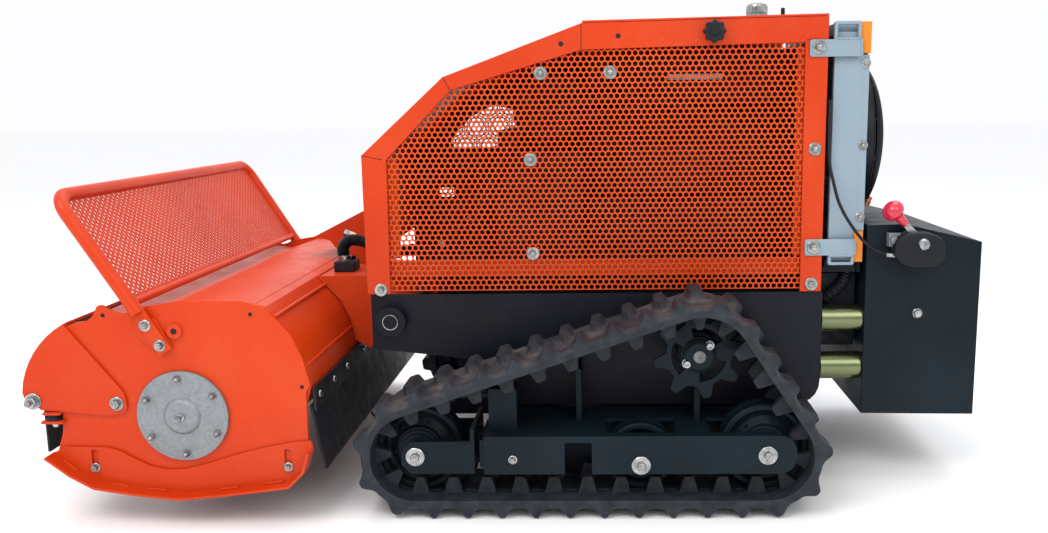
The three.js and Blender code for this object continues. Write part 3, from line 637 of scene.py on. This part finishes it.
def belt_route():
    """The belt's inner line, as arrays of X, Z, the outward angle and the way along, at even steps."""
    runs = []
    for i, (x, z, r) in enumerate(ROUTE):
        nx, nz, nr = ROUTE[(i + 1) % 3]
        span = hypot(nx - x, nz - z)
        angle = atan2(nz - z, nx - x) - acos((r - nr) / span)
        runs.append((angle, sqrt(span ** 2 - (r - nr) ** 2)))
    stretches = []
    for i, (x, z, r) in enumerate(ROUTE):
        start, (end, length) = runs[i - 1][0], runs[i]
        turn = (end - start + 4 * pi) % (2 * pi)
        stretches.append((turn * (r + CORD_LINE), (x, z), r, start, turn))
        stretches.append((length, polar((x, z), r, end), 0, end, 0))
    total = sum(stretch[0] for stretch in stretches)
    steps, rows = PITCHES * STEPS, []
    for j in range(steps):
        left = total * j / steps
        for length, centre, r, start, turn in stretches:
            if left <= length:
                break
            left -= length
        angle = start + turn * left / length
        x, z = polar(centre, r, angle)
        if not turn:
            x, z = x - left * sin(angle), z + left * cos(angle)
        rows.append((x, z, angle))
    return (*np.array(rows).T, np.arange(steps) * PITCH / STEPS)


def ease(value, low, high):
    t = np.clip((value - low) / (high - low), 0, 1)
    return t * t * (3 - 2 * t)


def belt_profile(along):
    """Rows round the belt's section: distance outboard, height off the inner line, and dust."""
    flat = np.ones(len(along))
    near = np.abs((along - FIRST_LUG + PITCH / 2) % PITCH - PITCH / 2)
    far = PITCH / 2 - near
    pillar = np.where(near < 4.5, 1.0, np.clip((27 - near) / 22.5, 0, 1) ** 1.9)
    block_top = 1 - ease(far, 9, 19)
    point = 16 - 1.5 * far
    rows = []
    for out in (100, 99, 97, 93, 88, 82, 74, 66, 58, 50, 42, 34, 26, 20, 15, 11, 7, 3, -1, -5, -10, -15, -22,
                -30, -40, -50, -60, -70, -80, -88, -94, -98, -100):
        rise = block_top * ease(point - out, 0, 9)
        if out >= 0:
            rise = np.maximum(pillar * ease(out, 4, 22), rise * 0.98)
        rim = 5.5 * ease(abs(out), 90, 100) ** 1.5 * (1 - np.clip(rise * 1.6, 0, 1))
        hollow = 1.6 * (1 - rise) * ease(70 - abs(abs(out) - 45), 30, 60)
        crest = LUG * rise * (1 - 0.16 * ease(abs(out), 96, 100))
        dust = np.clip(1 - rise * 1.3, 0.12, 1) * (1 - 0.55 * ease(abs(out), 84, 98))
        rows.append((flat * out, BAND - rim - hollow + crest, dust))
    rows += [(flat * out, flat * height, flat * 0.1) for out, height in ((-100, 9), (-99.4, 3), (-98, 0))]
    tomb = GUIDE * 0.97 * np.clip(1 - np.clip((far - 8.5) / 10.5, 0, 1) ** 1.5, 0, 1)
    tooth = [(90, 0), (70, 0), (56, 0), (51.4, 0), (50.6, 1), (48, 1.02), (42, 1.03), (36, 1.02), (33.4, 1),
             (32.6, 0), (24, 0), (8, 0)]
    for out, height in [(-out, height) for out, height in tooth] + tooth[::-1]:
        drop = tomb * height if height else 1.2 * ease(far, 12, 30) * (abs(out) < 60)
        rows.append((flat * out, -drop, flat * 0.05))
    ribs = np.where(np.arange(len(along)) % 2 == 0, 0.9, -0.2)
    for out, height, rib in ((98, 0, 0), (99.4, 2.4, 0), (99.2, 3.6, 1), (99.2, 8.4, 1), (99.5, 9.4, 0),
                             (100, 10.5, 0), (100, 13, 0)):
        rows.append((flat * out + ribs * rib * 0.8, flat * height, flat * 0.08))
    return rows


def make_belt(name, side):
    xs, zs, turns, along = belt_route()
    out, rise, dust = (np.stack(rows, 1) for rows in zip(*belt_profile(along)))
    dust = dust * (0.35 + 0.65 * np.clip(np.sin(turns) + 0.35, 0, 1)[:, None])
    x = xs[:, None] + rise * np.cos(turns)[:, None]
    z = zs[:, None] + rise * np.sin(turns)[:, None]
    y = side * (TRACK_Y + np.clip(out, -TRACK_HALF, TRACK_HALF))
    points = np.stack([x, y, np.maximum(z, 0.0)], 2).reshape(-1, 3)
    obj = piece(f"belt_{name}", [(points.tolist(), skin(numbered(*out.shape), True))], "rubber",
                node=f"rubber_track_{name}", sharp=38, weld=0.0001)
    layer = obj.data.attributes.new("dust", "FLOAT", "POINT")
    layer.data.foreach_set("value", dust.ravel().astype(np.float32))


def wheel_profile(radius):
    """Section of a wheel: rim, recessed web and a sealed hub."""
    half, bore = 29, 10.6
    outer = [(30, 47), (36, 46), (37, 41), (43, 40), (44, 35), (48, 34), (49, 20), (radius - 27, 13),
             (radius - 18, 16), (radius - 13, half - 2), (radius - 10, half), (radius - 3, half),
             (radius, half - 3), (radius, 3)]
    inner = [(r, -h) for r, h in reversed(outer)]
    return [(bore, 47), *outer, (radius - 1.5, 0), *inner, (bore, -47)]


def make_wheels(name, side):
    for wheel, (x, z), radius in (("front_idler", FRONT_IDLER, 92.5), ("rear_idler", REAR_IDLER, 92.5),
                                  ("mid_roller", MID_ROLLER, 72.5)):
        forms = [lathe(wheel_profile(radius), (x, side * TRACK_Y, z), (0, 1, 0), 56, ring=True)]
        for i in range(6):
            px, pz = polar((x, z), radius - 36, i * pi / 3 + 0.2)
            forms.append(turned([(4, 0), (4, 3.5), (3, 4.5)], side, px, TRACK_Y + 15, pz, 10))
        body = f"{wheel}_{name}"
        piece(f"{wheel}_wheel_{name}", forms, "dark", body, body, sharp=28)


def make_sprocket(name, side):
    outline, windows = [], []
    for centre in (45 * i + 11.25 for i in range(8)):
        for r, t in ((72, -14), (92, -6.6), (97.5, -4), (97.5, 4), (92, 6.6), (72, 14)):
            outline.append(polar(SPROCKET, r, radians(centre + t)))
        outline += arc(SPROCKET, 71, centre + 17, centre + 28, 2)
    for start in (120 * i + 32 for i in range(3)):
        windows.append(arc(SPROCKET, 59, start, start + 74, 10) + arc(SPROCKET, 39, start + 74, start, 10))
    x, z = SPROCKET
    middle = TRACK_Y
    face = middle + 5
    plate = [side_plate(outline, side, middle - 6, middle + 6, 1.4, windows),
             turned([(36, 0), (36, 6), (33, 9), (31, 9), (31, 15), (28, 17)], side, x, face, z, 40),
             turned([(30, 0), (30, 12), (28, 13)], -side, x, 5 - middle, z, 32)]
    body = f"drive_sprocket_{name}"
    piece(f"sprocket_{name}", plate, "dark", body, body)
    clamps = []
    for angle in (47, 211):
        px, pz = polar(SPROCKET, 31, radians(angle))
        clamps += [turned([(8, 2), (8, 13), (7, 14.4), (4, 14.4), (3.6, 10)], side, px, face + 8, pz, 20),
                   turned([(10.5, 0), (10.5, 2)], side, px, face + 8, pz, 20)]
    shaft = turned([(14, 0), (14, 3), (13, 4), (4, 4), (3, 2.4)], side, x, face + 16.9, z, 28)
    piece(f"sprocket_bolts_{name}", clamps, "bolt steel", body, sharp=30, second=[shaft])


def make_undercarriage():
    washer = [(19.4, 0), (20, 0.7), (20, 3), (18.8, 3.8)]
    for name, side in SIDES.items():
        make_belt(name, side)
        make_wheels(name, side)
        make_sprocket(name, side)
        forms = bolts([side], 505.2, [(-9, 124)], (12, 19, 7))
        for x, z in ((524, 132), (260, 111), (-214, 131.5)):
            forms.append(turned(washer, side, x, 505.3, z, 32))
            forms += bolt((x, side * 508.4, z), (0, side, 0), 17, 0, 8, 0.2)
        fasteners(f"axle_bolts_{name}", forms)
        slider = [block((-79.6, -69.4), (side * 348, side * 497), (104, 164)),
                  block((80, 168), (side * 338, side * 346), (42, 112))]
        piece(f"tension_slider_{name}", slider, "dark", bevel=1)


# ---------- carrier ----------

HOOD_LINE = [(-347, 751), (-162, 918), (140, 1028), (668, 1036)]
TRIM_LINE = [(-292, 741), (-146, 890), (139, 972), (619, 982)]
MESH_SCREWS = [(50, 924), (201, 924), (25, 738), (27, 530)]
CAP = (543, -100)


def make_hood():
    keep = inside([(-305, 440), (-305, 748), (-146, 900), (139, 982), (632, 992), (632, 440)])
    for name, side in SIDES.items():
        face = side * 293.6
        halves = (("front", (-305, 163.75), f"side_mesh_{name}"), ("rear", (163.75, 632), None))
        for part, span, node in halves:
            form = perforated(lambda x, z, t: (x, face - side * t, z), span, (447, 1000), 10.3, keep)
            piece(f"hood_mesh_{name}_{part}", [form], "mesh", node=node, sharp=40, weld=0.001)
        depth = (side * 284, side * 287)
        strip = [block((-300, 632), depth, (478, 515)), block((-300, -270), depth, (520, 740)),
                 block((604, 632), depth, (520, 975))]
        for x, z in MESH_SCREWS:
            strip.append(block((x - 13, x + 13), (side * 272, side * 290.6), (z - 14, z + 14)))
        piece(f"hood_backing_{name}", strip, "mesh", bevel=0.8)
        screws = bolts([side], 293.7, MESH_SCREWS, (14, 29, 8), 0.3)
        screws += bolts([side], HOOD_FACE + 0.1, [(-316, 451), (645, 458), (645, 755)], (14, 29, 8), 0.21)
        screws += bolts([side], HOOD_FACE + 4.6, [(647, 971), (647, 541)], (15, 30, 8), 0.35)
        fasteners(f"hood_bolts_{name}", screws)
        make_knob(name, side)
        make_seams(name, side)
    # Dark discs just off the face: painted shade standing in for open holes in the hood's sides.
    holes = [turned([(5.5, 0), (5.5, HAIR)], side, x, HOOD_FACE + PROUD, z, 20)
             for side in BOTH for x, z in ((219, 1000), (96, 985))]
    piece("hood_holes", holes, "cast", sharp=30)
    ribs = [polar(CAP, 24.6 if i % 4 < 2 else 23.2, 2 * pi * i / 96) for i in range(96)]
    cap = [prism(ribs, 1060, 1074, "z"),
           lathe([(24.6, 0), (24.6, 5), (21, 8)], (*CAP, 1053.4), UP, 48),
           lathe([(23.6, 0), (22, 5), (13, 8), (12, 8.6)], (*CAP, 1073.6), UP, 48)]
    piece("filler_cap_ribbed", cap, "bolt", "cap", "filler_cap", sharp=30)


def make_knob(name, side):
    x, z = place = (423, 1006)
    outline = []
    for centre in (45 * i for i in range(8)):
        outline += arc(polar(place, 19, radians(centre)), 5.6, centre - 75, centre + 75, 5)
    knob = [side_plate(outline, side, 312.5, 329.5, 2.2),
            turned([(12, 0), (12, 11), (17, 12.5)], side, x, 300.4, z, 28),
            turned([(11, 0), (10, 2.4), (0, 3)], side, x, 329.3, z, 28)]
    piece(f"star_knob_{name}", knob, "plastic", f"knob_{name}", f"clamp_knob_{name}", sharp=34)


def make_seams(name, side):
    """Thin dark joints where the folded trim meets at its corners."""
    face = side * (HOOD_FACE + PROUD)
    seams = []
    for a, b in ((HOOD_LINE[0], (-300, 741)), (HOOD_LINE[1], TRIM_LINE[1]), (HOOD_LINE[2], TRIM_LINE[2])):
        a, b = Vector(a), Vector(b)
        across = (b - a).normalized().orthogonal() * 0.7
        corners = [a + across, b + across, b - across, a - across]
        seams.append(prism([tuple(c) for c in corners], face, face + side * HAIR))
    seams.append(block((621, 667), (face, face + side * HAIR), (986.4, 987.6)))
    piece(f"hood_seams_{name}", seams, "cast")


def make_engine_bay():
    """Tank, air cleaner, oil tanks and covers that fill the bay behind the perforated sheets and darken what
    shows through their holes. A dark middle sheet and dark panels at the rear are painted shade there.
    """
    cleaner = [(70, -196), (84, -184), (84, -60), (88, -56), (88, 56), (84, 60), (84, 184), (70, 196)]
    bay = [prism(slab((163, 586), (642, 848), 8), -98, 98),
           prism(slab((128, 166), (452, 862), 8), -60, 60),
           prism(slab((586, 652), (452, 900), 10), -60, 150),
           prism(rounded([(152, 856, 22), (632, 856, 22), (632, 975, 16), (152, 960, 16)]), -190, 190),
           lathe(cleaner, (62, 0, 852), (0, 1, 0), 44)]
    tank = rounded([(-62, 452, 12), (140, 452, 12), (140, 752, 20), (-30, 752, 30), (-62, 700, 20)])
    battery = rounded([(-206, 466, 8), (-92, 466, 8), (-92, 640, 14), (-168, 640, 14)])
    for side in BOTH:
        # Each side adds a tank, a battery, and a tall dark panel at the rear that closes the slit there as
        # painted shade.
        bay += [prism(tank, side * 70, side * 214), prism(battery, side * 96, side * 190),
                block((646, 664), (side * 30, side * 270), (446, 985))]
    bay.append(prism(slab((-60, -20), (760, 800), 8), -150, 150))
    piece("bay_tanks", bay, "cast", bevel=3, sharp=40)
    # A dark sheet down the middle of the bay, with a window and slots cut in it: painted shade, the dark seen
    # through the perforated sheets.
    front = [(-296, 452), (640, 452), (640, 975), (140, 970), (-20, 924), (-150, 874), (-296, 740)]
    window = [(-196, 772), (-142, 832), (-84, 858), (-24, 842), (-24, 768), (-110, 752), (-190, 752)]
    slots = [rectangle((-72, -10), (720, 738)), rectangle((-256, -190), (630, 654))]
    piece("bay_shade_baffle", [cut_sheet(front, [window, *slots], 24, 32, 1)], "dark")
    hoses = []
    for y, lift in ((-214, 0), (-228, 34), (-206, 66)):
        run = smooth_path([(-200, y * 0.8, 520 + lift), (-120, y, 560 + lift), (0, y - 6, 800),
                           (150, y, 830 + lift), (330, y, 858), (470, y, 800)], 10)
        hoses += [sweep(run, 10, 12), sweep([(p[0], -p[1], p[2]) for p in run], 10, 12)]
    piece("bay_hoses", hoses, "plastic")
    bright = [block((330, 455), (side * 195, side * 203), (908, 922)) for side in BOTH]
    bright += [turned([(11, 0), (11, 10), (8, 14)], side, -190 + 22 * i, 190, 540 + 20 * i, 6)
               for side in BOTH for i in range(4)]
    piece("bay_fittings", bright, "bolt", bevel=0.8)


def make_cooling():
    piece("radiator_fins", [block((690, 738), (-270, 270), (530, 1000))], "fins")
    tank = [block((686, 746), (-272, 272), (506, 532)), block((686, 746), (-272, 272), (998, 1022))]
    panel = [(682, 513), (746, 513), (746, 1003), (690, 1003), (684, 960)]
    straps, beads, blocks = [], [], []
    for side in BOTH:
        tank += [side_plate(panel, side, 272, 290, 1.6),
                 block((742, 759), (side * 271, side * 289), (575, 955))]
        for z in ((983, 1025), (500, 536)):
            outer = slab((680, 737), z, 5)
            x, z = (sum(p[i] for p in outer) / len(outer) for i in (0, 1))
            inner = [(x + (a - x) * 0.76, z + (b - z) * 0.66) for a, b in outer]
            tank.append(side_plate(outer, side, 286, 302, 1.2, [inner]))
        for a, b in (((682, 988), (736, 988)), ((738, 953), (738, 987)),
                     ((682, 521), (734, 521)), ((738, 524), (738, 557))):
            beads.append(weld([(a[0], side * 304, a[1]), (b[0], side * 304, b[1])], 2.8))
        for z in (951, 522):
            straps.append(side_plate(slab((628, 737), (z, z + 36), 6, 3, 3, 6), side, 300.4, 304.6, 0.8))
        for x, z in ((760, (958, 1024)), (757, (506, 574))):
            blocks.append(side_plate(rectangle((737.5, x), z), side, 262, 296, 1.5))
    piece("radiator_tanks", tank, "grey", node="radiator", sharp=40)
    piece("mount_blocks", blocks, "amber")
    piece("radiator_straps", straps, "grey", sharp=40)
    piece("radiator_welds", beads, "grey")
    fasteners("radiator_screws", bolts(BOTH, 289.2, [(751, 937), (751, 762), (750, 605)], (10, 21, 6)))


def fan_point(x, radius, angle):
    """A point round the fan's axle."""
    return (x, *polar((0, FAN_HEIGHT), radius, angle))


def make_fan_guard():
    centre, reach = (0, 0, FAN_HEIGHT), 177
    radii = [reach - 5.6 * i for i in range(26)]
    dome = [(radius, 805.5 + 49.5 * sin(acos(radius / reach)) ** 1.35) for radius in radii]
    hub = [(34, 848), (40, 850), (40, 853), (34, 856), (0, 857)]
    drum = [(178, 761), (178, 806), (174, 806), (174, 765), (171, 761)]
    flange = [(176, 758), (250, 758), (250, 760.8), (176, 760.8)]
    guard = [lathe(hub, centre, REAR, 40), lathe(drum, centre, REAR, 72, ring=True),
             lathe(flange, centre, REAR, 64, ring=True)]
    for radius, x in dome:
        ring = [fan_point(x, radius, a) for a in np.linspace(0, 2 * pi, 73)[:-1]]
        guard.append(sweep(ring, 1.8, 6, closed=True))
    for i in range(12):
        angle = 2 * pi * (i + 0.5) / 12
        spoke = [fan_point(x - 2.6, radius, angle) for radius, x in dome]
        guard.append(sweep([*spoke, fan_point(851, 24, angle)], 2.2, 8))
    piece("fan_guard_wires", guard, "plastic", node="fan_guard", sharp=36)


def make_fan():
    hub = [(34, -26), (38, -22), (38, 18), (33, 24), (0, 26)]
    fan = [lathe(hub, (796, 0, FAN_HEIGHT), REAR, 40)]
    spans, root, tip = 8, 34, 148
    for turn in (i * pi / 3 for i in range(6)):
        rows = []
        for share in (k / spans for k in range(spans + 1)):
            radius = root + (tip - root) * share
            pitch, lean, half = 0.95 - 0.5 * share, 0.28 * share, 22 + 12 * share
            for reach, thick in ((-half, -1.4), (-half, 1.4), (half, 1.4), (half, -1.4)):
                swing = turn + lean + reach * cos(pitch) / radius
                rows.append(fan_point(796 + reach * sin(pitch) * 0.62 + thick, radius, swing))
        fan.append((rows, skin(numbered(spans + 1, 4))))
    piece("fan_blades", fan, "plastic", "fan", "cooling_fan", sharp=36)


def make_covers():
    """The cover over the hydraulic lines, rails under the belly, the breather's sleeve, the box's bolts."""
    cover = [prism(slab((675, 762), (300, 470), 4, 4, 6, 6), -222, 222),
             prism(slab((675, 762), (470, 500), 4, 4, 6, 6), -150, 150)]
    piece("line_cover", cover, "cast", bevel=2)
    rails = [block((-180, 600), (side * 200, side * 230), (140, 179.6)) for side in BOTH]
    piece("belly_rails", rails, "chassis", bevel=2)
    post = lathe([(4.7, 0), (4.7, 28), (3.8, 29.2)], (603, -100, 1042), UP, 20)
    piece("breather_sleeve", [post], "cast", sharp=30)
    fasteners("box_bolts", bolts(BOTH, HOOD_FACE + 0.2, [(882, 390)], (17, 22, 8)))


def make_throttle_lever():
    pivot, knob = Vector((880, -329, 549)), Vector((810, -329, 624))
    unit = (knob - pivot).normalized()
    across = Vector((-unit.z, 0, unit.x))
    blade = [pivot + unit * a + across * b for a, b in
             ((-8, -6), (4, -9), (62, -6), (70, -5), (70, 5), (62, 6), (4, 9), (-8, 6))]
    ball = [(24 * sin(t), 20.5 - 20.5 * cos(t)) for t in np.linspace(0, pi, 18)[1:-1]]
    grip = [lathe([(7, 58), (8.5, 66), (10.5, 78), (12, 82), (0, 84)], pivot, unit, 28),
            lathe([(0, 0), *ball, (0, 41)], pivot + unit * 80, unit, 36)]
    piece("throttle_handle", [prism([(p.x, p.z) for p in blade], -331, -327)], "bolt ball", "lever",
          "throttle_lever", sharp=36, second=grip)


def make_throttle():
    make_throttle_lever()
    oval = []
    for c, s in (polar((0, 0), 1, 2 * pi * i / 56) for i in range(56)):
        wide, tall = copysign(abs(c) ** 0.78, c), copysign(abs(s) ** 0.78, s)
        oval.append((868 + 55 * wide, 538 + 38.5 * tall - 3 * c))
    housing = [cut_sheet(oval, [], -350, -336, 5), cut_sheet(oval, [], -322, -308, 3),
               block((840, 904), (-337, -321), (503, 520)),
               block((850, 910), (-309, -300.4), (503, 530))]
    piece("throttle_case", housing, "plastic", node="throttle_housing", sharp=34)
    parts = [turned([(12.5, 0), (13, 1.4), (11, 4.2), (6, 5.6), (0, 6)], -1, 875, 350, 551, 28),
             lathe([(5.4, 0), (5.4, 20), (4.4, 22)], (822, -329, 524.5), (-1, 0, 0.07), 20)]
    # A dark disc on the housing's face: painted shade standing in for a hole.
    bore = turned([(2.6, 0), (2.6, 0.3)], -1, 898, 350.05, 555, 14)
    piece("throttle_fittings", parts, "bolt cast", sharp=30, second=[bore])
    bracket = [block((807, 832), (-322, -319), (543, 573)), block((807, 810), (-321, -300.4), (543, 573)),
               turned([(8, 0), (8, 12), (6.6, 13.4)], -1, 816, 322, 558, 24)]
    piece("throttle_bracket", bracket, "zinc", bevel=0.6)


def make_rear():
    make_covers()
    make_throttle()
    route = [(748, -200, 500), (744, -214, 478), (728, -232, 448), (706, -240, 428), (686, -240, 412)]
    hose = smooth_path(route, 24)
    piece("coolant_hose", [sweep(hose, ribbed(hose, 15, 22, 2.6), 18)], "plastic")
    drain = lathe([(7, 0), (7, 12), (5, 14), (5, 22)], (768, -262, 628), (0.5, 0, 0.86), 20)
    piece("drain_fitting", [drain], "copper", bevel=0.5)


# ---------- head ----------

def make_guard():
    foot, top = Vector((-714, 0, 381)), Vector((-904, 0, 688))
    lean = (top - foot).normalized()
    normal = Vector((lean.z, 0, -lean.x))
    left, right = Vector((0, -545, 0)), Vector((0, 545, 0))
    start, low = foot + lean * 82, foot + lean * 107
    tube = [sweep(bent_path([start + left, top + left, top + right, start + right], 42, 10), 14, 22),
            sweep([low + left, low + right], 9, 16)]
    ends = [foot + lean * a + normal * b for a, b in ((-14, -15), (-14, 15), (96, 13), (104, 0), (96, -13))]
    for side in BOTH:
        tube.append(side_plate([(p.x, p.z) for p in ends], side, 536.6, 548, 2.4))
    piece("guard_tube", tube, "orange", "head", "guard_frame", sharp=36)
    high = (top - low).length - 10
    keep = inside([(6, -533), (high - 34, -533), (high, -500), (high, 500), (high - 34, 533), (6, 533)])
    form = perforated(lambda a, b, t: tuple(low + Vector((0, b, 0)) + lean * a + normal * (t - 1)),
                      (6, high), (-533, 533), 8.0, keep)
    piece("guard_screen", [form], "orange", "head", "guard_mesh", sharp=40, weld=0.001)
    plate = rounded([(-772, 438, 8), (-772, 404, 8), (-720, 362, 8), (-696, 380, 8), (-728, 438, 8)])
    feet = [side_plate(plate, side, 530.4, 536, 1) for side in BOTH]
    piece("guard_feet", feet, "orange", "head", sharp=40)
    fasteners("guard_bolts", bolts(BOTH, 547.8, [(-744, 426), (-717, 384)], (13, 24, 7)), "head")


def make_shell_details():
    """Ribs along the shell's folds, weld beads, and the rivets of the strip that clamps the flap."""
    wide = 521
    ribs = [weld([(-503, -129, 457), (-503, 58, 457)], 2.8),
            weld([(-531, -wide, 460.6), (-531, wide, 460.6)], 2.0, 9)]
    for x, z in ((-488, 436), (-430.5, 332)):
        ribs.append(sweep([(x, -wide, z), (x, wide, z)], 4.5, 10))
    for side in BOTH:
        arm = 131 * side
        ribs += [weld([(-505, arm, 456), (-452.5, arm, 399), (-430, arm, 350), (-419, arm, 296)], 3),
                 weld([(-556, side * wide, 467.6), (-690, side * wide, 465)], 2.2)]
    piece("shell_ribs", ribs, "orange", "head")
    rivet = [(8, 0), (7.4, 2.6), (4.4, 4.4), (0, 5)]
    places = (-490, -375, -260, -90, 90, 260, 375, 490)
    fasteners("strip_rivets", [lathe(rivet, (-412.2, y, 266), REAR, 18) for y in places], "head")


def make_skid_details():
    """Stitch welds along each skid's fold. Each has its place and the fold's slope there."""
    stitches = [(-930, 128, -0.85), (-829, 84, -0.17), (-751, 74, -0.11), (-599, 76.5, 0.1),
                (-505, 88.5, 0.12)]
    for name, side in SIDES.items():
        beads = []
        for x, z, slope in stitches:
            run = 19 if abs(slope) < 0.5 else 14
            ends = [(x + reach, side * 539, z + slope * reach) for reach in (-run, run)]
            beads.append(weld(ends, 3.6, 9))
        piece(f"skid_welds_{name}", beads, "orange", f"skid_{name}")


def make_buffers():
    """A rubber stop under each corner of the door."""
    for name, side in SIDES.items():
        holder = [side_plate(slab((-980, -934), (218, 224), 4, 2, 2, 2), side, 512, 545, 0.8),
                  side_plate(slab((-976, -938), (237, 242), 3, 3, 2, 2), side, 512, 545, 0.8)]
        piece(f"buffer_bracket_{name}", holder, "orange", "head")
        pad = [(15, 0), (17, 2), (13, 6.5), (17, 11), (15, 13)]
        rubber = lathe(pad, (-957, side * 529, 224), UP, 30)
        piece(f"buffer_pad_{name}", [rubber], "sheet_rubber", "head")
        fasteners(f"buffer_bolt_{name}", bolt((-957, side * 529, 218), DOWN, 11, 17, 7), "head")


def make_bearing_cover():
    x, z = ROTOR
    cover = [side_plate(arc(ROTOR, 95, 0, 355, 71), -1, 530.4, 538.5, 1),
             turned([(39.5, 7), (39, 8.4), (33, 14.6), (31, 15.6)], -1, x, 530.4, z, 56)]
    piece("bearing_cover_plate", cover, "zinc", "head", "bearing_cover_left", sharp=30)
    nipple = [(8, 0), (8, 4), (4.6, 5), (4.6, 10), (6.4, 12), (7.2, 15), (6, 18.4), (2, 20)]
    nuts = bolts(BOTH, 536.6, [(-878, 121.7), (-473, 121.7)], (12, 20, 8))
    nuts.append(turned(nipple, -1, x, 545.8, z, 18))
    for i in range(6):
        px, pz = polar(ROTOR, 80, radians(33 + 60 * i))
        nuts += acorn((px, -538.4, pz), (0, -1, 0))
    fasteners("head_bolts", nuts, "head")


def make_head():
    make_guard()
    make_shell_details()
    make_skid_details()
    make_buffers()
    make_bearing_cover()
    door, bores = bolts(BOTH, DOOR_FACE, [(-822, 259)], (17, 30, 9)), []
    door += bolts(BOTH, DOOR_FACE, [(-996, 265)], (21, 35, 12))
    for side in BOTH:
        door += [turned([(15, 0), (15, 3)], side, -996, DOOR_FACE + 1.8, 265, 28),
                 turned([(6.4, 14), (6.4, 24), (5, 25.6)], side, -996, DOOR_FACE, 265, 18)]
        # Dark discs on the faces: painted shade standing in for open bores and holes.
        bores.append(turned([(6.4, 0), (6.4, 0.3)], side, -691, 537.05, 411, 20))
        for x, z, radius in ((-837, 444, 4.4), (-534, 444, 4.4), (-437, 291, 4.2)):
            bores.append(turned([(radius, 0), (radius, HAIR)], side, x, HEAD_FACE + PROUD, z, 18))
    fasteners("door_bolts", door, "door")
    piece("head_bores", bores, "cast", "head")


def make_pivot_caps():
    """Bright snap rings on the ends of the lift pin."""
    ring = [(15.6, 0), (17.4, 0), (17.7, 0.6), (17.4, 1.4), (16.2, 1.4), (15.6, 0.8)]
    fasteners("pivot_rings", [turned(ring, side, -295, 317.6, 380, 48, ring=True) for side in BOTH])


def dress_nodes():
    """Materials and softened edges for the CAD nodes that stay. A star stands for left and right."""
    finish = {
        "orange": "head_shell lift_arms front_door bonnet_lid hood_rear_top hood_front_panel"
                  " side_plate_* skid_* side_frame_*",
        "chassis": "chassis_frame lift_pivot_pin radiator_mount",
        "dark": "rear_box track_frame_* tensioner_yoke_*",
        "plated": "tie_tube_lower_* tie_tube_upper_*",
        "cast": "engine_block rotor_motor lift_cylinder_barrel travel_motor_*",
        "steel": "hydraulic_pump rotor lift_cylinder_rod",
        "sheet_rubber": "front_curtain rear_flap flap_strip",
    }
    for look, names in finish.items():
        for node in sorted({name.replace("*", side) for name in names.split() for side in SIDES}):
            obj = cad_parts[node]
            obj.data.materials.clear()
            obj.data.materials.append(LOOKS[look])
            obj.data.polygons.foreach_set("use_smooth", [True] * len(obj.data.polygons))
            merge = obj.modifiers.new("weld", "WELD")
            merge.merge_threshold = 0.01 * MM
            flat = obj.modifiers.new("flat", "DECIMATE")
            flat.decimate_type = "DISSOLVE"
            flat.angle_limit = radians(0.6)
            soften(obj, 1.3)


make_camera()
make_cords()
make_undercarriage()
make_hood()
make_engine_bay()
make_cooling()
make_fan_guard()
make_fan()
make_rear()
make_head()
make_pivot_caps()
dress_nodes()
make_stage()
